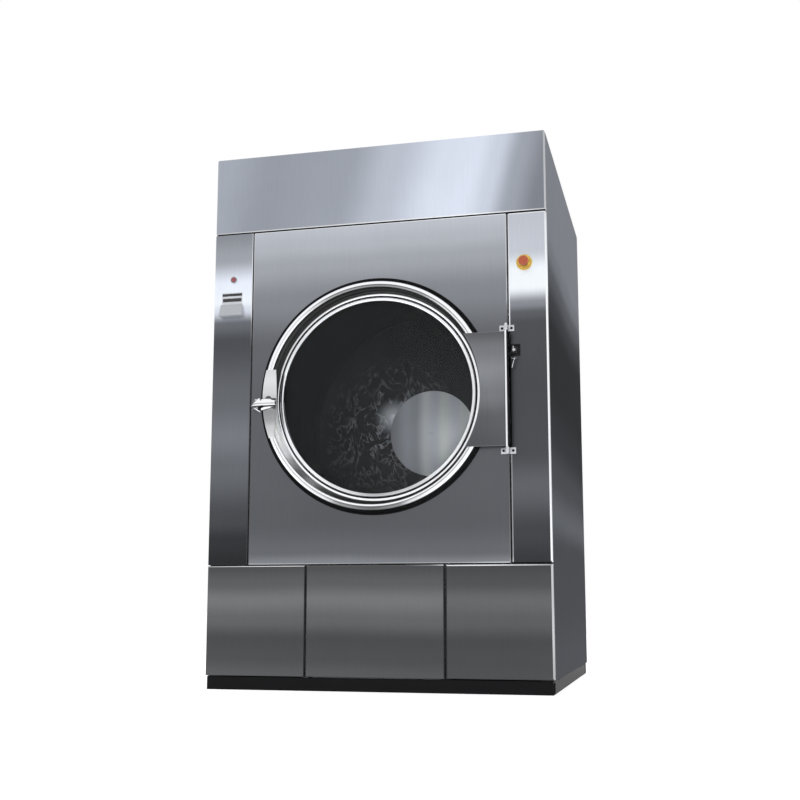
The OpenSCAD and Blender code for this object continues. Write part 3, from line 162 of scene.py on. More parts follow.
class Graph(Nodes):
    """Shader graph of one finish, ending in a principled shader."""

    def __init__(self, name: str) -> None:
        """Makes an empty material of that name."""
        self.material = bpy.data.materials.new(name)
        self.material.use_nodes = True
        super().__init__(self.material.node_tree)
        self.shader = self.tree.nodes["Principled BSDF"]
        self.place = self.add("ShaderNodeTexCoord").outputs["Object"]

    def split(self, vector: Socket) -> tuple[Socket, Socket, Socket]:
        """The three parts of a vector."""
        node = self.add("ShaderNodeSeparateXYZ", Vector=vector)
        return node.outputs[0], node.outputs[1], node.outputs[2]

    def flat(self, colour: Sequence[float]) -> Socket:
        """One colour, with its alpha."""
        node = self.add("ShaderNodeRGB")
        node.outputs[0].default_value = tuple(colour)
        return node.outputs[0]

    def reach(self, a: Socket, b: Socket) -> Socket:
        """Distance from two offsets at right angles."""
        return self.math("SQRT", self.math("ADD", self.math("MULTIPLY", a, a), self.math("MULTIPLY", b, b)))

    def noise(self, *scale: float, detail: float = 2.0, warp: float = 0.0) -> Socket:
        """Noise over the place in the frame.

        Args:
            scale: one scale for all axes, or one for each.
            detail: how many finer layers it has.
            warp: how far it is curled.

        Returns:
            A value from 0 to 1.
        """
        place = self.add("ShaderNodeMapping", Vector=self.place)
        place.inputs["Scale"].default_value = scale if len(scale) == 3 else scale * 3
        return self.add("ShaderNodeTexNoise", Vector=place.outputs[0], Scale=1.0, Detail=detail,
                        Distortion=warp).outputs[0]

    def spread(self, value: Socket, low: float, high: float) -> Socket:
        """A value from 0 to 1, brought to a range."""
        return self.math("MULTIPLY_ADD", value, high - low, low)

    def ramp(self, value: Socket, stops: Stops, blue: float) -> Socket:
        """Greys along a value.

        Args:
            value: the place along the ramp.
            stops: places in rising order and their greys, 0 to 255.
            blue: coolness of the lightest greys.

        Returns:
            The colour output.
        """
        low, high = stops[0][0], stops[-1][0]
        share = self.add("ShaderNodeMapRange", Value=value, From_Min=low, From_Max=high).outputs[0]
        node = self.add("ShaderNodeValToRGB", Fac=share)
        band = node.color_ramp
        band.interpolation = "EASE"
        while len(band.elements) < len(stops):
            band.elements.new(0.5)
        for element, (at, _) in zip(band.elements, stops):
            element.position = (at - low) / (high - low)
        for element, (_, grey) in zip(band.elements, stops):
            element.color = shade(grey, blue * grey / 255.0)
        return node.outputs[0]

    def times(self, colour: Socket, factor: Socket) -> Socket:
        """A colour times a number."""
        node = self.add("ShaderNodeVectorMath", operation="SCALE")
        self.feed(node.inputs[0], colour)
        self.feed(node.inputs["Scale"], factor)
        return node.outputs[0]

    def bump(self, height: Socket, distance: float, strength: float = 1.0) -> None:
        """Gives the shader a bump from a height of 0 to 1, in metres."""
        node = self.add("ShaderNodeBump", Height=height, Distance=distance, Strength=strength)
        self.feed(self.shader.inputs["Normal"], node.outputs[0])

    def set(self, **values: object) -> bpy.types.Material:
        """Sets the shader's sockets and returns the material."""
        for key, value in values.items():
            self.feed(self.shader.inputs[key.replace("_", " ")], value)
        return self.material


@dataclass(frozen=True)
class BrushedSteel:
    """Brushed stainless steel sheet with soft bands of light and shade along one direction."""

    name: str
    bands: Stops
    along: Axis = Axis.Z
    slant: float = 0.0
    shift: float = 0.0
    grain: Axis = Axis.Z
    blue: float = 12.0
    mottle: float = 0.08
    rough: float = 0.36
    wander: float = 0.02
    edge_tint: float = 1.0
    metal: float = 1.0

    def build(self) -> bpy.types.Material:
        """Makes the material.

        Returns:
            The material, coloured by the bands, the mottling and the grain.
        """
        g = Graph(self.name)
        x, y, z = g.split(g.place)
        way = (x, y, z)[self.along.value]
        if self.slant:
            way = g.math("ADD", g.math("MULTIPLY_ADD", z, self.slant, way), self.shift)
        drift = g.noise(1.6)
        way = g.math("ADD", way, g.spread(drift, -self.wander, self.wander))
        colour = g.ramp(way, self.bands, self.blue)
        coarse = [260.0, 260.0, 260.0]
        fine = [900.0, 900.0, 900.0]
        coarse[self.grain.value], fine[self.grain.value] = 5.0, 14.0
        lines = g.noise(*coarse, detail=1.0)
        hair = g.noise(*fine)
        cloud = g.noise(3.2, detail=3.0, warp=0.4)
        factor = g.math("ADD", g.spread(lines, -0.045, 0.045), g.spread(hair, -0.07, 0.07))
        factor = g.math("ADD", factor, g.spread(cloud, 1.0 - self.mottle, 1.0 + self.mottle))
        g.bump(g.math("ADD", lines, hair), 0.00004, 0.5)
        return g.set(Base_Color=g.times(colour, factor), Metallic=self.metal,
                     Specular_Tint=(*(self.edge_tint,) * 3, 1.0),
                     Roughness=g.spread(hair, self.rough - 0.05, self.rough + 0.07))


@dataclass(frozen=True)
class PolishedRing:
    """Polished steel round the door axis, with painted reflections in bands that run round with the angle."""

    name: str
    bands: Stops
    rough: float = 0.12
    blue: float = 3.0
    wander: float = 3.0
    metal: float = 1.0

    def build(self) -> bpy.types.Material:
        """Makes the material, its bands in degrees from the right, turning up."""
        g = Graph(self.name)
        x, _, z = g.split(g.place)
        angle = g.math("ARCTAN2", g.math("SUBTRACT", z, DOOR_Z), x)
        degrees = g.math("MULTIPLY", angle, 180.0 / math.pi)
        drift = g.noise(9.0, detail=3.0, warp=0.6)
        degrees = g.math("ADD", degrees, g.spread(drift, -self.wander, self.wander))
        colour = g.ramp(degrees, self.bands, self.blue)
        smear = g.noise(40.0, detail=3.0, warp=0.5)
        return g.set(Base_Color=g.times(colour, g.spread(smear, 0.94, 1.04)), Metallic=self.metal,
                     Roughness=g.spread(smear, self.rough - 0.04, self.rough + 0.06))


@dataclass(frozen=True)
class Coat:
    """Paint, plastic, rubber or plain metal with a slightly uneven colour and surface."""

    name: str
    colour: tuple[float, float, float]
    metallic: float = 0.0
    rough: float = 0.5
    uneven: float = 0.12
    scale: float = 60.0
    relief: float = 0.0001
    coat: float = 0.0
    gloss: float = 0.5

    def build(self) -> bpy.types.Material:
        """Makes the material."""
        g = Graph(self.name)
        broad = g.noise(self.scale * 0.12)
        small = g.noise(self.scale * 6.0, detail=3.0)
        mix = g.math("ADD", g.spread(broad, 1.0 - self.uneven, 1.0 + self.uneven),
                     g.spread(small, -self.uneven * 0.5, self.uneven * 0.5))
        g.bump(small, self.relief)
        return g.set(Base_Color=g.times(g.flat((*self.colour, 1.0)), mix), Metallic=self.metallic,
                     Roughness=g.spread(small, self.rough - 0.06, self.rough + 0.06), Coat_Weight=self.coat,
                     Specular_IOR_Level=self.gloss)


@dataclass(frozen=True)
class DoorPane:
    """Dark tinted pane that lets most of the light through."""

    name: str
    tint: tuple[float, float, float]
    cover: float

    def build(self) -> bpy.types.Material:
        """Makes the material, with faint smears in its gloss."""
        g = Graph(self.name)
        smear = g.noise(9.0, 9.0, 4.0, detail=4.0, warp=1.2)
        g.material.surface_render_method = "BLENDED"
        return g.set(Base_Color=g.times(g.flat((*self.tint, 1.0)), g.spread(smear, 0.6, 1.5)),
                     Alpha=self.cover, Roughness=g.spread(smear, 0.02, 0.08))


@dataclass(frozen=True)
class PerforatedSteel:
    """Drum sheet with rows of round holes."""

    name: str
    grey: float
    pitch: float = 0.016
    row: float = 0.866
    hole: float = 0.26
    drum_r: float = 0.598
    lift: float = 200.0

    def build(self) -> bpy.types.Material:
        """Makes the material, its rows running round the drum axis."""
        g = Graph(self.name)
        x, y, z = g.split(g.place)
        angle = g.math("ARCTAN2", g.math("SUBTRACT", z, DOOR_Z), x)
        across = g.math("ADD", g.math("MULTIPLY", angle, self.drum_r / self.pitch), 2.5 * self.lift)
        down = g.math("ADD", g.math("DIVIDE", y, self.pitch * self.row), self.lift)
        shift = g.math("MULTIPLY", g.math("MODULO", g.math("FLOOR", down), 2.0), 0.5)
        u = g.math("SUBTRACT", g.math("FRACT", g.math("ADD", across, shift)), 0.5)
        v = g.math("SUBTRACT", g.math("FRACT", down), 0.5)
        far = g.reach(u, v)
        solid = g.math("SMOOTH_MIN", g.math("MULTIPLY", g.math("SUBTRACT", far, self.hole), 12.0), 1.0, 0.1)
        solid = g.math("MAXIMUM", solid, 0.0)
        scratch = g.noise(4.0, 22.0, 4.0, detail=3.0, warp=1.5)
        light = g.math("MULTIPLY", g.spread(solid, 0.75, 1.0), g.spread(scratch, 0.7, 1.3))
        g.bump(solid, 0.0001)
        return g.set(Base_Color=g.times(g.flat(shade(self.grey)), light), Metallic=0.9,
                     Roughness=g.spread(scratch, 0.25, 0.5))


@dataclass(frozen=True)
class PaintedReflectionSteel:
    """Dark inner sheet with painted reflections in curled streaks round one place and a soft painted
    highlight spot at another.
    """

    name: str
    grey: float
    reflection_streaks: tuple[float, float, float]
    highlight_spot: tuple[float, float, float]
    reflection_gain: float = 24.0
    highlight_gain: float = 40.0

    def near(self, g: Graph, at: tuple[float, float, float]) -> Socket:
        """Nearness to a place.

        Args:
            g: the graph.
            at: x, z and reach of the place.

        Returns:
            1 at the place, falling to 0 at its reach.
        """
        x, _, z = g.split(g.place)
        far = g.reach(g.math("SUBTRACT", x, at[0]), g.math("SUBTRACT", z, at[1]))
        return g.add("ShaderNodeMapRange", interpolation_type="SMOOTHSTEP", Value=far, From_Min=at[2],
                     From_Max=0.0).outputs[0]

    def build(self) -> bpy.types.Material:
        """Makes the material."""
        g = Graph(self.name)
        curl = g.noise(11.0, 11.0, 8.0, detail=3.0, warp=2.2)
        breaks = g.noise(24.0, warp=0.6)
        line = g.math("MAXIMUM", g.spread(g.math("ABSOLUTE", g.math("SUBTRACT", curl, 0.5)), 1.0, -17.0), 0.0)
        line = g.math("MULTIPLY", line, g.math("MAXIMUM", g.spread(breaks, -1.2, 2.4), 0.0))
        light = g.math("MULTIPLY", line, self.near(g, self.reflection_streaks))
        highlight_spot = g.math("MULTIPLY", self.near(g, self.highlight_spot), self.highlight_gain)
        light = g.math("ADD", g.math("MULTIPLY", light, self.reflection_gain), highlight_spot)
        g.bump(curl, 0.0006)
        light = g.math("ADD", light, g.spread(breaks, 0.7, 1.3))
        return g.set(Base_Color=g.times(g.flat(shade(self.grey, 3.0)), light), Metallic=0.3,
                     Roughness=g.spread(breaks, 0.3, 0.5), Specular_IOR_Level=0.2)


def shown(name: str, data: bpy.types.ID) -> bpy.types.Object:
    """A new object in the scene."""
    made = bpy.data.objects.new(name, data)
    bpy.context.scene.collection.objects.link(made)
    return made


def new_piece(name: str, bm: bmesh.types.BMesh, body: str,
              finishes: Sequence[bpy.types.Material], replaces: Sequence[str] = (),
              crease: float = 35.0) -> bpy.types.Object:
    """Turns a mesh into a shown piece that rides on a body.

    Args:
        name: the piece's name.
        bm: its mesh, in the part's frame; it is freed.
        body: the body that it rides on.
        finishes: materials in the order of Role.
        replaces: solids that it stands for.
        crease: angle in degrees from which an edge is sharp.

    Returns:
        The object.
    """
    mesh = bpy.data.meshes.new(name)
    bm.to_mesh(mesh)
    bm.free()
    for finish in finishes:
        mesh.materials.append(finish)
    mesh.shade_smooth()
    mesh.set_sharp_from_angle(angle=math.radians(crease))
    piece = shown(name, mesh)
    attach(piece, body)
    if replaces:
        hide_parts(*replaces)
    log.info("%s: %d faces on %s", name, len(mesh.polygons), body)
    return piece


def revolved(profile: Sequence[tuple[float, float]], x: float, z: float, steps: int = 192,
             role: Callable[[float, float], Role] = lambda r, h: Role.BODY, closed: bool = True,
             face: float = FRONT) -> bmesh.types.BMesh:
    """Turns a profile round an axis along Y.

    Args:
        profile: radius and height in front of the front plane, in order.
        x: place of the axis.
        z: height of the axis.
        steps: how many segments the circle has.
        role: finish of a face by the radius and height of its middle.
        closed: whether the profile's last point joins its first.
        face: the plane that heights start from.

    Returns:
        The mesh.
    """
    bm = bmesh.new()
    verts = [bm.verts.new((x + r, face - h, z)) for r, h in profile]
    pairs = list(zip(verts, verts[1:])) + ([(verts[-1], verts[0])] if closed else [])
    edges = [bm.edges.new(p) for p in pairs]
    bmesh.ops.spin(bm, geom=verts + edges, cent=(x, 0, z), axis=(0, 1, 0), angle=math.tau, steps=steps,
                   use_merge=True)
    bmesh.ops.remove_doubles(bm, verts=bm.verts[:], dist=1e-6)
    bmesh.ops.recalc_face_normals(bm, faces=bm.faces[:])
    for f in bm.faces:
        c = f.calc_center_median()
        f.material_index = role(math.hypot(c.x - x, c.z - z), face - c.y).value
    return bm


def arc_points(cx: float, cy: float, r: float, start: float, end: float,
               count: int) -> list[tuple[float, float]]:
    """Points of an arc between two angles in degrees, both ends included."""
    turns = [math.radians(start + (end - start) * i / count) for i in range(count + 1)]
    return [(cx + r * math.cos(t), cy + r * math.sin(t)) for t in turns]


def bead_points(cx: float, cy: float, r: float, count: int,
                fullness: float = 3.2) -> list[tuple[float, float]]:
    """Points of a half round bead with a flattened crown.

    Args:
        cx: radius of its middle.
        cy: height of its foot.
        r: half its width, and its height.
        count: number of steps along it.
        fullness: 2 for a plain half circle, more for a flatter crown.

    Returns:
        Radius and height of its points, from the inside out.
    """
    points = []
    for i in range(count + 1):
        turn = math.pi * (1.0 - i / count)
        across = math.copysign(abs(math.cos(turn)) ** (2.0 / fullness), math.cos(turn))
        points.append((cx + r * across, cy + r * abs(math.sin(turn)) ** (2.0 / fullness)))
    return points


def tube(places: Sequence[Matrix], count: int) -> bmesh.types.BMesh:
    """Closed skin over a row of circles.

    Args:
        places: matrices that place and stretch a circle of radius 1.
        count: number of points on each circle.

    Returns:
        The mesh, capped at its first and last circle.
    """
    bm = bmesh.new()
    rings = []
    for place in places:
        ends = place in (places[0], places[-1])
        made = bmesh.ops.create_circle(bm, cap_ends=ends, segments=count, radius=1.0, matrix=place)["verts"]
        rings.append([e for e in bm.edges if set(e.verts) <= set(made)])
    for one, two in zip(rings, rings[1:]):
        bmesh.ops.bridge_loops(bm, edges=one + two)
    bmesh.ops.recalc_face_normals(bm, faces=bm.faces[:])
    return bm


def rounded(bm: bmesh.types.BMesh, edges: Sequence[bmesh.types.BMEdge], size: float,
            segments: int) -> bmesh.types.BMesh:
    """The same mesh with some edges rounded, the rounding in the edge role."""
    made = bmesh.ops.bevel(bm, geom=edges, offset=size, segments=segments, profile=0.5, affect="EDGES",
                           clamp_overlap=True, material=-1)
    for f in made["faces"]:
        f.material_index = Role.EDGE.value
    return bm


def block(low: Sequence[float], high: Sequence[float], edge: float,
          segments: int = 3) -> bmesh.types.BMesh:
    """Box between two corners with rounded edges.

    Args:
        low: lowest corner.
        high: highest corner.
        edge: size of the rounding.
        segments: faces across the rounding.

    Returns:
        The mesh, its rounding in the edge role.
    """
    bm = bmesh.new()
    middle = (Vector(low) + Vector(high)) / 2
    size = Vector(high) - Vector(low)
    bmesh.ops.create_cube(bm, size=1.0, matrix=Matrix.Translation(middle) @ Matrix.Diagonal((*size, 1.0)))
    return rounded(bm, bm.edges[:], edge, segments)


def slab(outline: Sequence[tuple[float, float]], h0: float, h1: float, edge: float) -> bmesh.types.BMesh:
    """Flat plate parallel to the front with rounded front edges.

    Args:
        outline: x and z of its corners in order.
        h0: height of its back in front of the front plane.
        h1: height of its front.
        edge: size of the rounding.

    Returns:
        The mesh, its rounding in the edge role.
    """
    bm = bmesh.new()
    back = bm.faces.new([bm.verts.new((x, FRONT - h0, z)) for x, z in outline])
    made = bmesh.ops.extrude_face_region(bm, geom=[back])
    moved = [v for v in made["geom"] if isinstance(v, bmesh.types.BMVert)]
    bmesh.ops.translate(bm, verts=moved, vec=(0, h0 - h1, 0))
    bmesh.ops.recalc_face_normals(bm, faces=bm.faces[:])
    top = FRONT - h1
    rim = [e for e in bm.edges if all(abs(v.co.y - top) < 1e-7 for v in e.verts)]
    return rounded(bm, rim, edge, 2)


def painted(bm: bmesh.types.BMesh, role: Role) -> bmesh.types.BMesh:
    """The same mesh, all its faces in one role."""
    for f in bm.faces:
        f.material_index = role.value
    return bm


def joined(parts: Iterable[bmesh.types.BMesh]) -> bmesh.types.BMesh:
    """One mesh of several, which are freed."""
    whole = bmesh.new()
    for part in parts:
        mesh = bpy.data.meshes.new("part")
        part.to_mesh(mesh)
        part.free()
        whole.from_mesh(mesh)
        bpy.data.meshes.remove(mesh)
    return whole


@dataclass
class Assembly:
    """Sub-assembly that dresses some solids and replaces others."""

    nodes: dict[str, bpy.types.Object]

    def dress(self, finish: bpy.types.Material, *names: str) -> None:
        """Gives solids a finish."""
        for name in names:
            self.nodes[name].data.materials.clear()
            self.nodes[name].data.materials.append(finish)
            log.info("%s: %s", name, finish.name)


@dataclass
class Studio:
    """Camera, white surroundings, floor and soft lamps."""

    camera_at: tuple[float, float, float] = (1.20243, -5.20420, 0.35260)
    pitch: float = 8.7274
    turn: float = 13.7669
    lens: float = 51.985
    rise: float = 0.03
    ambient: float = 0.50
    floor_glow: float = 0.62

    def camera(self) -> None:
        """Sets the camera to the photograph's view of 800 by 800."""
        data = bpy.data.cameras.new("camera")
        data.sensor_width = 36.0
        data.lens = self.lens
        data.shift_y = self.rise
        data.clip_end = 200.0
        cam = shown("camera", data)
        cam.location = self.camera_at
        cam.rotation_euler = (math.radians(90.0 + self.pitch), 0.0, math.radians(self.turn))
        bpy.context.scene.camera = cam

    def surroundings(self) -> None:
        """White world for what is seen, softer grey light for what is lit."""
        world = bpy.data.worlds.new("studio")
        world.use_nodes = True
        bpy.context.scene.world = world
        g = Nodes(world.node_tree)
        g.tree.nodes.clear()
        lit = g.add("ShaderNodeBackground", Color=(1.0, 1.0, 1.0, 1.0), Strength=self.ambient)
        seen = g.add("ShaderNodeBackground", Color=(1.0, 1.0, 1.0, 1.0))
        mix = g.add("ShaderNodeMixShader")
        for socket, value in zip(mix.inputs, (g.seen(), lit.outputs[0], seen.outputs[0])):
            g.feed(socket, value)
        g.add("ShaderNodeOutputWorld", Surface=mix.outputs[0])

    def floor(self) -> None:
        """Plain pale floor that keeps the shadow of the machine."""
        bm = bmesh.new()
        bmesh.ops.create_grid(bm, x_segments=1, y_segments=1, size=30.0)
        mesh = bpy.data.meshes.new("floor")
        bm.to_mesh(mesh)
        bm.free()
        g = Graph("floor_white")
        mesh.materials.append(g.set(Base_Color=(0.86, 0.86, 0.86, 1.0), Roughness=0.9,
                                    Emission_Color=(1.0, 1.0, 1.0, 1.0),
                                    Emission_Strength=g.math("MULTIPLY", g.seen(), self.floor_glow)))
        shown("floor", mesh)

    def lamp(self, name: str, at: Sequence[float], aim: Sequence[float], size: float, power: float,
             spread: float = 180.0) -> None:
        """Adds one large soft lamp, aimed at a point, its beam as wide as the spread in degrees."""
        data = bpy.data.lights.new(name, "AREA")
        data.spread = math.radians(spread)
        data.size = size
        data.energy = power
        lamp = shown(name, data)
        lamp.location = at
        lamp.rotation_euler = (Vector(aim) - Vector(at)).to_track_quat("-Z", "Y").to_euler()
        lamp.visible_glossy = False

    def build(self) -> None:
        """Sets the whole studio up."""
        bpy.context.scene.view_settings.view_transform = "Standard"
        self.camera()
        self.surroundings()
        self.floor()
        self.lamp("key", (-3.4, -5.2, 4.6), (0, -0.5, 1.1), 3.4, 80.0)
        self.lamp("fill", (4.6, -3.6, 3.0), (0.4, -0.3, 1.2), 3.0, 55.0)
        self.lamp("front", (0.7, -5.0, 0.95), (0.0, 0.4, 1.183), 0.9, 1.9, 16.0)
        self.lamp("back", (1.5, 5.4, 4.4), (0, 0.6, 1.2), 3.4, 120.0)
        self.lamp("side", (-5.2, 1.0, 3.2), (-0.6, 0, 1.2), 3.0, 90.0)
        log.info("studio set")


@dataclass
class Casing(Assembly):
    """Folded sheet panels of the front, the plain sheets round them and the black base."""

    half_w: float = 0.710
    top: float = 2.250
    header_z: float = 1.911
    lower_z: float = 0.498
    plinth: float = 0.052
    left_seam: float = -0.537
    right_seam: float = 0.551
    lint_half: float = 0.286
    lip: float = 0.018
    opening_r: float = 0.442

    def tray(self, x0: float, x1: float, z0: float, z1: float, depth: float, seams: Sequence[Side] = (),
             opening: float = 0.0, fold: float = 0.0035) -> bmesh.types.BMesh:
        """Folded panel with rounded bends, open at the back.

        Args:
            x0: left edge.
            x1: right edge.
            z0: lower edge.
            z1: upper edge.
            depth: how deep its edges are folded.
            seams: sides that lie beside another panel.
            opening: radius of a round opening on the door axis, or 0.
            fold: radius of its bends.

        Returns:
            The mesh, its bends numbered by their side from 1, and what lies deep in a seam from 5.
        """
        bm = bmesh.new()
        rect = [bm.verts.new((x, FRONT, z)) for x, z in ((x0, z0), (x1, z0), (x1, z1), (x0, z1))]
        outer = [bm.edges.new((rect[i], rect[(i + 1) % 4])) for i in range(4)]
        if opening:
            place = Matrix.Translation((0, FRONT, DOOR_Z)) @ Matrix.Rotation(math.pi / 2, 4, "X")
            ring = bmesh.ops.create_circle(bm, segments=192, radius=opening, matrix=place)["verts"]
            inner = list({e for v in ring for e in v.link_edges})
            bmesh.ops.triangle_fill(bm, use_beauty=True, use_dissolve=False, edges=outer + inner)
        else:
            bm.faces.new(rect)
        middle = Vector(((x0 + x1) / 2, 0, (z0 + z1) / 2))
        rim = outer
        for inwards, back in ((0.0, depth), (self.lip, 0.0)):
            made = bmesh.ops.extrude_edge_only(bm, edges=rim)["geom"]
            ends = {g for g in made if isinstance(g, bmesh.types.BMVert)}
            for v in ends:
                v.co.y += back
                v.co.x += math.copysign(inwards, middle.x - v.co.x)
                v.co.z += math.copysign(inwards, middle.z - v.co.z)
            rim = [g for g in made if isinstance(g, bmesh.types.BMEdge) and set(g.verts) <= ends]
        bmesh.ops.recalc_face_normals(bm, faces=bm.faces[:])
        front = next(f for f in bm.faces if abs(f.normal.y) > 0.9 and abs(f.verts[0].co.y - FRONT) < 1e-6)
        if front.normal.y > 0:
            bmesh.ops.reverse_faces(bm, faces=bm.faces[:])

        def on_rect(v: bmesh.types.BMVert) -> bool:
            """Whether a vertex lies at an outer corner of the panel."""
            return (abs(v.co.y - FRONT) < depth + 1e-6 and min(abs(v.co.x - x0), abs(v.co.x - x1)) < 1e-6
                    and min(abs(v.co.z - z0), abs(v.co.z - z1)) < 1e-6)

        bends = [e for e in bm.edges if all(on_rect(v) for v in e.verts)
                 and min(v.co.y for v in e.verts) < FRONT + 1e-6]
        made = bmesh.ops.bevel(bm, geom=bends, offset=fold, segments=4, profile=0.5, affect="EDGES",
                               material=-1)
        bm.normal_update()
        bent = set(made["faces"])
        for f in bm.faces:
            c = f.calc_center_median()
            gaps = {Side.LEFT: c.x - x0, Side.RIGHT: x1 - c.x, Side.BOTTOM: c.z - z0, Side.TOP: z1 - c.z}
            side = min(gaps, key=gaps.get)
            if side in seams and abs(f.normal.y) < (0.3 if side is Side.RIGHT else 0.75):
                f.material_index = 4 + side.value
            elif f in bent:
                f.material_index = side.value
        bmesh.ops.solidify(bm, geom=bm.faces[:], thickness=SHEET)
        return bm

    def panel(self, name: str, box: tuple[float, float, float, float], finish: BrushedSteel,
              bends: dict[Side, bpy.types.Material], seams: dict[Side, bpy.types.Material],
              body: str = "cabinet", depth: float = 0.025, opening: float = 0.0,
              fold: float = 0.0035) -> None:
        """Makes one panel of the front and replaces its solid.

        Args:
            name: the solid that it replaces.
            box: left, right, lower and upper edge.
            finish: finish of the flat.
            bends: materials of bends that show another light than the flat.
            seams: materials of painted shade deep in the seams, by the sides that lie beside another panel.
            body: the body that it rides on.
            depth: how deep its edges are folded.
            opening: radius of its round opening, or 0.
            fold: radius of its bends.
        """
        bm = self.tray(*box, depth, tuple(seams), opening, fold)
        flat = finish.build()
        new_piece(f"{name}_sheet", bm, body,
                  [flat] + [bends.get(s, flat) for s in Side] + [seams.get(s, flat) for s in Side], [name])

    def front(self) -> None:
        """All folded panels of the front."""
        def bend(name: str, bands: Stops, along: Axis = Axis.Z) -> bpy.types.Material:
            """Smooth bend with its own light and shade."""
            return BrushedSteel(name, bands, along, blue=4.0, mottle=0.03, rough=0.26, wander=0.004).build()

        # Bends: painted highlights and painted shade along the folded edges, darkest beside the seams and
        # near white at the outer corners.
        seam_shade_bend = bend("bend_seam_shade", ((0.0, 46), (0.5, 52), (1.2, 58), (2.25, 70)))
        corner = bend("bend_corner", (
            (0.05, 170), (0.30, 200), (0.48, 205), (0.52, 245), (1.60, 253), (1.85, 238), (1.90, 225),
            (1.92, 196), (2.25, 184)))
        right_seam = bend("bend_right_seam", (
            (0.50, 200), (0.53, 150), (0.92, 150), (0.95, 70), (1.42, 70), (1.435, 238), (1.60, 246),
            (1.70, 228), (1.91, 205)))
        middle_right = bend("bend_middle_right", (
            (0.50, 150), (0.53, 112), (0.92, 96), (1.45, 92), (1.50, 120), (1.56, 180), (1.91, 206)))
        middle_left = bend("bend_middle_left", (
            (0.50, 88), (1.35, 98), (1.50, 130), (1.68, 186), (1.91, 214)))
        left_seam = bend("bend_left_seam", (
            (0.50, 62), (1.40, 92), (1.50, 140), (1.57, 236), (1.74, 228), (1.91, 205)))
        header_low = bend("bend_header_low", (
            (-0.71, 176), (-0.5, 194), (0.0, 214), (0.4, 240), (0.6, 206), (0.71, 190)), Axis.X)
        tops = bend("bend_tops", (
            (-0.71, 150), (-0.545, 158), (-0.53, 218), (0.0, 232), (0.45, 246), (0.71, 240)), Axis.X)
        lower_top = bend("bend_lower_top", (
            (-0.71, 196), (-0.5, 226), (-0.29, 222), (-0.28, 104), (0.12, 96), (0.22, 150),
            (0.285, 236), (0.45, 244), (0.6, 214), (0.71, 176)), Axis.X)
        surround_low = bend("bend_surround_low", ((-0.54, 168), (0.0, 150), (0.3, 160), (0.55, 206)), Axis.X)
        # Flats: painted reflections in soft bands of light and shade by height; the header's bands run across
        # and slant for its painted diagonal highlight.
        header = BrushedSteel("header_steel", (
            (-0.71, 173), (-0.48, 157), (-0.14, 166), (0.06, 194), (0.29, 225), (0.41, 229),
            (0.50, 212), (0.60, 165), (0.71, 135)), along=Axis.X, slant=-0.25, shift=0.5225, blue=16.0)
        left = BrushedSteel("left_column_steel", (
            (0.50, 45), (0.60, 53), (0.684, 73), (0.90, 106), (1.03, 122), (1.19, 106), (1.44, 82),
            (1.515, 110), (1.575, 226), (1.61, 248), (1.68, 243), (1.80, 166), (1.91, 145)), blue=13.0,
            mottle=0.05, wander=0.01)
        right = BrushedSteel("right_column_steel", (
            (0.50, 56), (0.62, 68), (0.80, 98), (0.93, 79), (1.20, 78), (1.45, 82),
            (1.49, 96), (1.53, 142), (1.60, 250), (1.66, 250), (1.75, 204), (1.91, 199)), blue=12.0,
            mottle=0.05, wander=0.01)
        middle = BrushedSteel("surround_steel", (
            (0.50, 128), (0.55, 100), (0.66, 91), (0.85, 95), (1.10, 98), (1.40, 104), (1.60, 138),
            (1.75, 168), (1.83, 185), (1.91, 196)), blue=11.0, mottle=0.05)
        lower = BrushedSteel("lower_steel", (
            (0.05, 90), (0.13, 77), (0.20, 74), (0.28, 98), (0.36, 116), (0.43, 95), (0.50, 80)),
            blue=5.0, mottle=0.05)
        lower_end = BrushedSteel("lower_right_steel", (
            (0.05, 80), (0.13, 76), (0.20, 73), (0.28, 92), (0.36, 104), (0.43, 84), (0.50, 76)),
            blue=5.0, mottle=0.05)
        low, high = self.plinth + 0.003, self.lower_z - SEAM
        mid, up = self.lower_z + SEAM, self.header_z - SEAM
        left_side, right_side, under, over = Side.LEFT, Side.RIGHT, Side.BOTTOM, Side.TOP
        # Deep seam faces: painted shade, near black in the horizontal seams and grey in the vertical ones.
        dark = Coat("seam_shade", (0.03, 0.032, 0.036), metallic=0.9, rough=0.5, gloss=0.1).build()
        grey = Coat("seam_shade_grey", (0.30, 0.31, 0.34), metallic=0.9, rough=0.5, gloss=0.1).build()
        self.panel("header_panel", (-self.half_w, self.half_w, self.header_z + SEAM, self.top), header,
                   {right_side: corner, under: header_low}, {under: dark}, fold=0.006)
        self.panel("left_column_panel", (-self.half_w, self.left_seam - SEAM, mid, up), left,
                   {right_side: left_seam, under: seam_shade_bend}, {right_side: grey, under: dark, over: dark})
        self.panel("right_column_panel", (self.right_seam + SEAM, self.half_w, mid, up), right,
                   {left_side: right_seam, right_side: corner, under: seam_shade_bend, over: tops},
                   {under: dark, over: dark}, fold=0.0070)
        self.panel("door_surround_panel", (self.left_seam + SEAM, self.right_seam - SEAM, mid, up), middle,
                   {left_side: middle_left, right_side: middle_right, under: surround_low, over: tops},
                   {left_side: grey, right_side: grey, under: dark, over: dark},
                   opening=self.opening_r, fold=0.0050)
        self.panel("lower_left_panel", (-self.half_w, -self.lint_half - SEAM, low, high), lower,
                   {right_side: seam_shade_bend, over: lower_top}, {right_side: grey, over: dark}, fold=0.0045)
        self.panel("lower_right_panel", (self.lint_half + SEAM, self.half_w, low, high), lower_end,
                   {left_side: seam_shade_bend, right_side: corner, over: lower_top}, {left_side: grey, over: dark},
                   fold=0.0070)
        self.panel("lint_door", (-self.lint_half + SEAM, self.lint_half - SEAM, low, high), lower,
                   {left_side: seam_shade_bend, right_side: seam_shade_bend, over: lower_top},
                   {left_side: grey, right_side: grey, over: dark}, body="lint_flap", depth=0.022,
                   fold=0.0045)

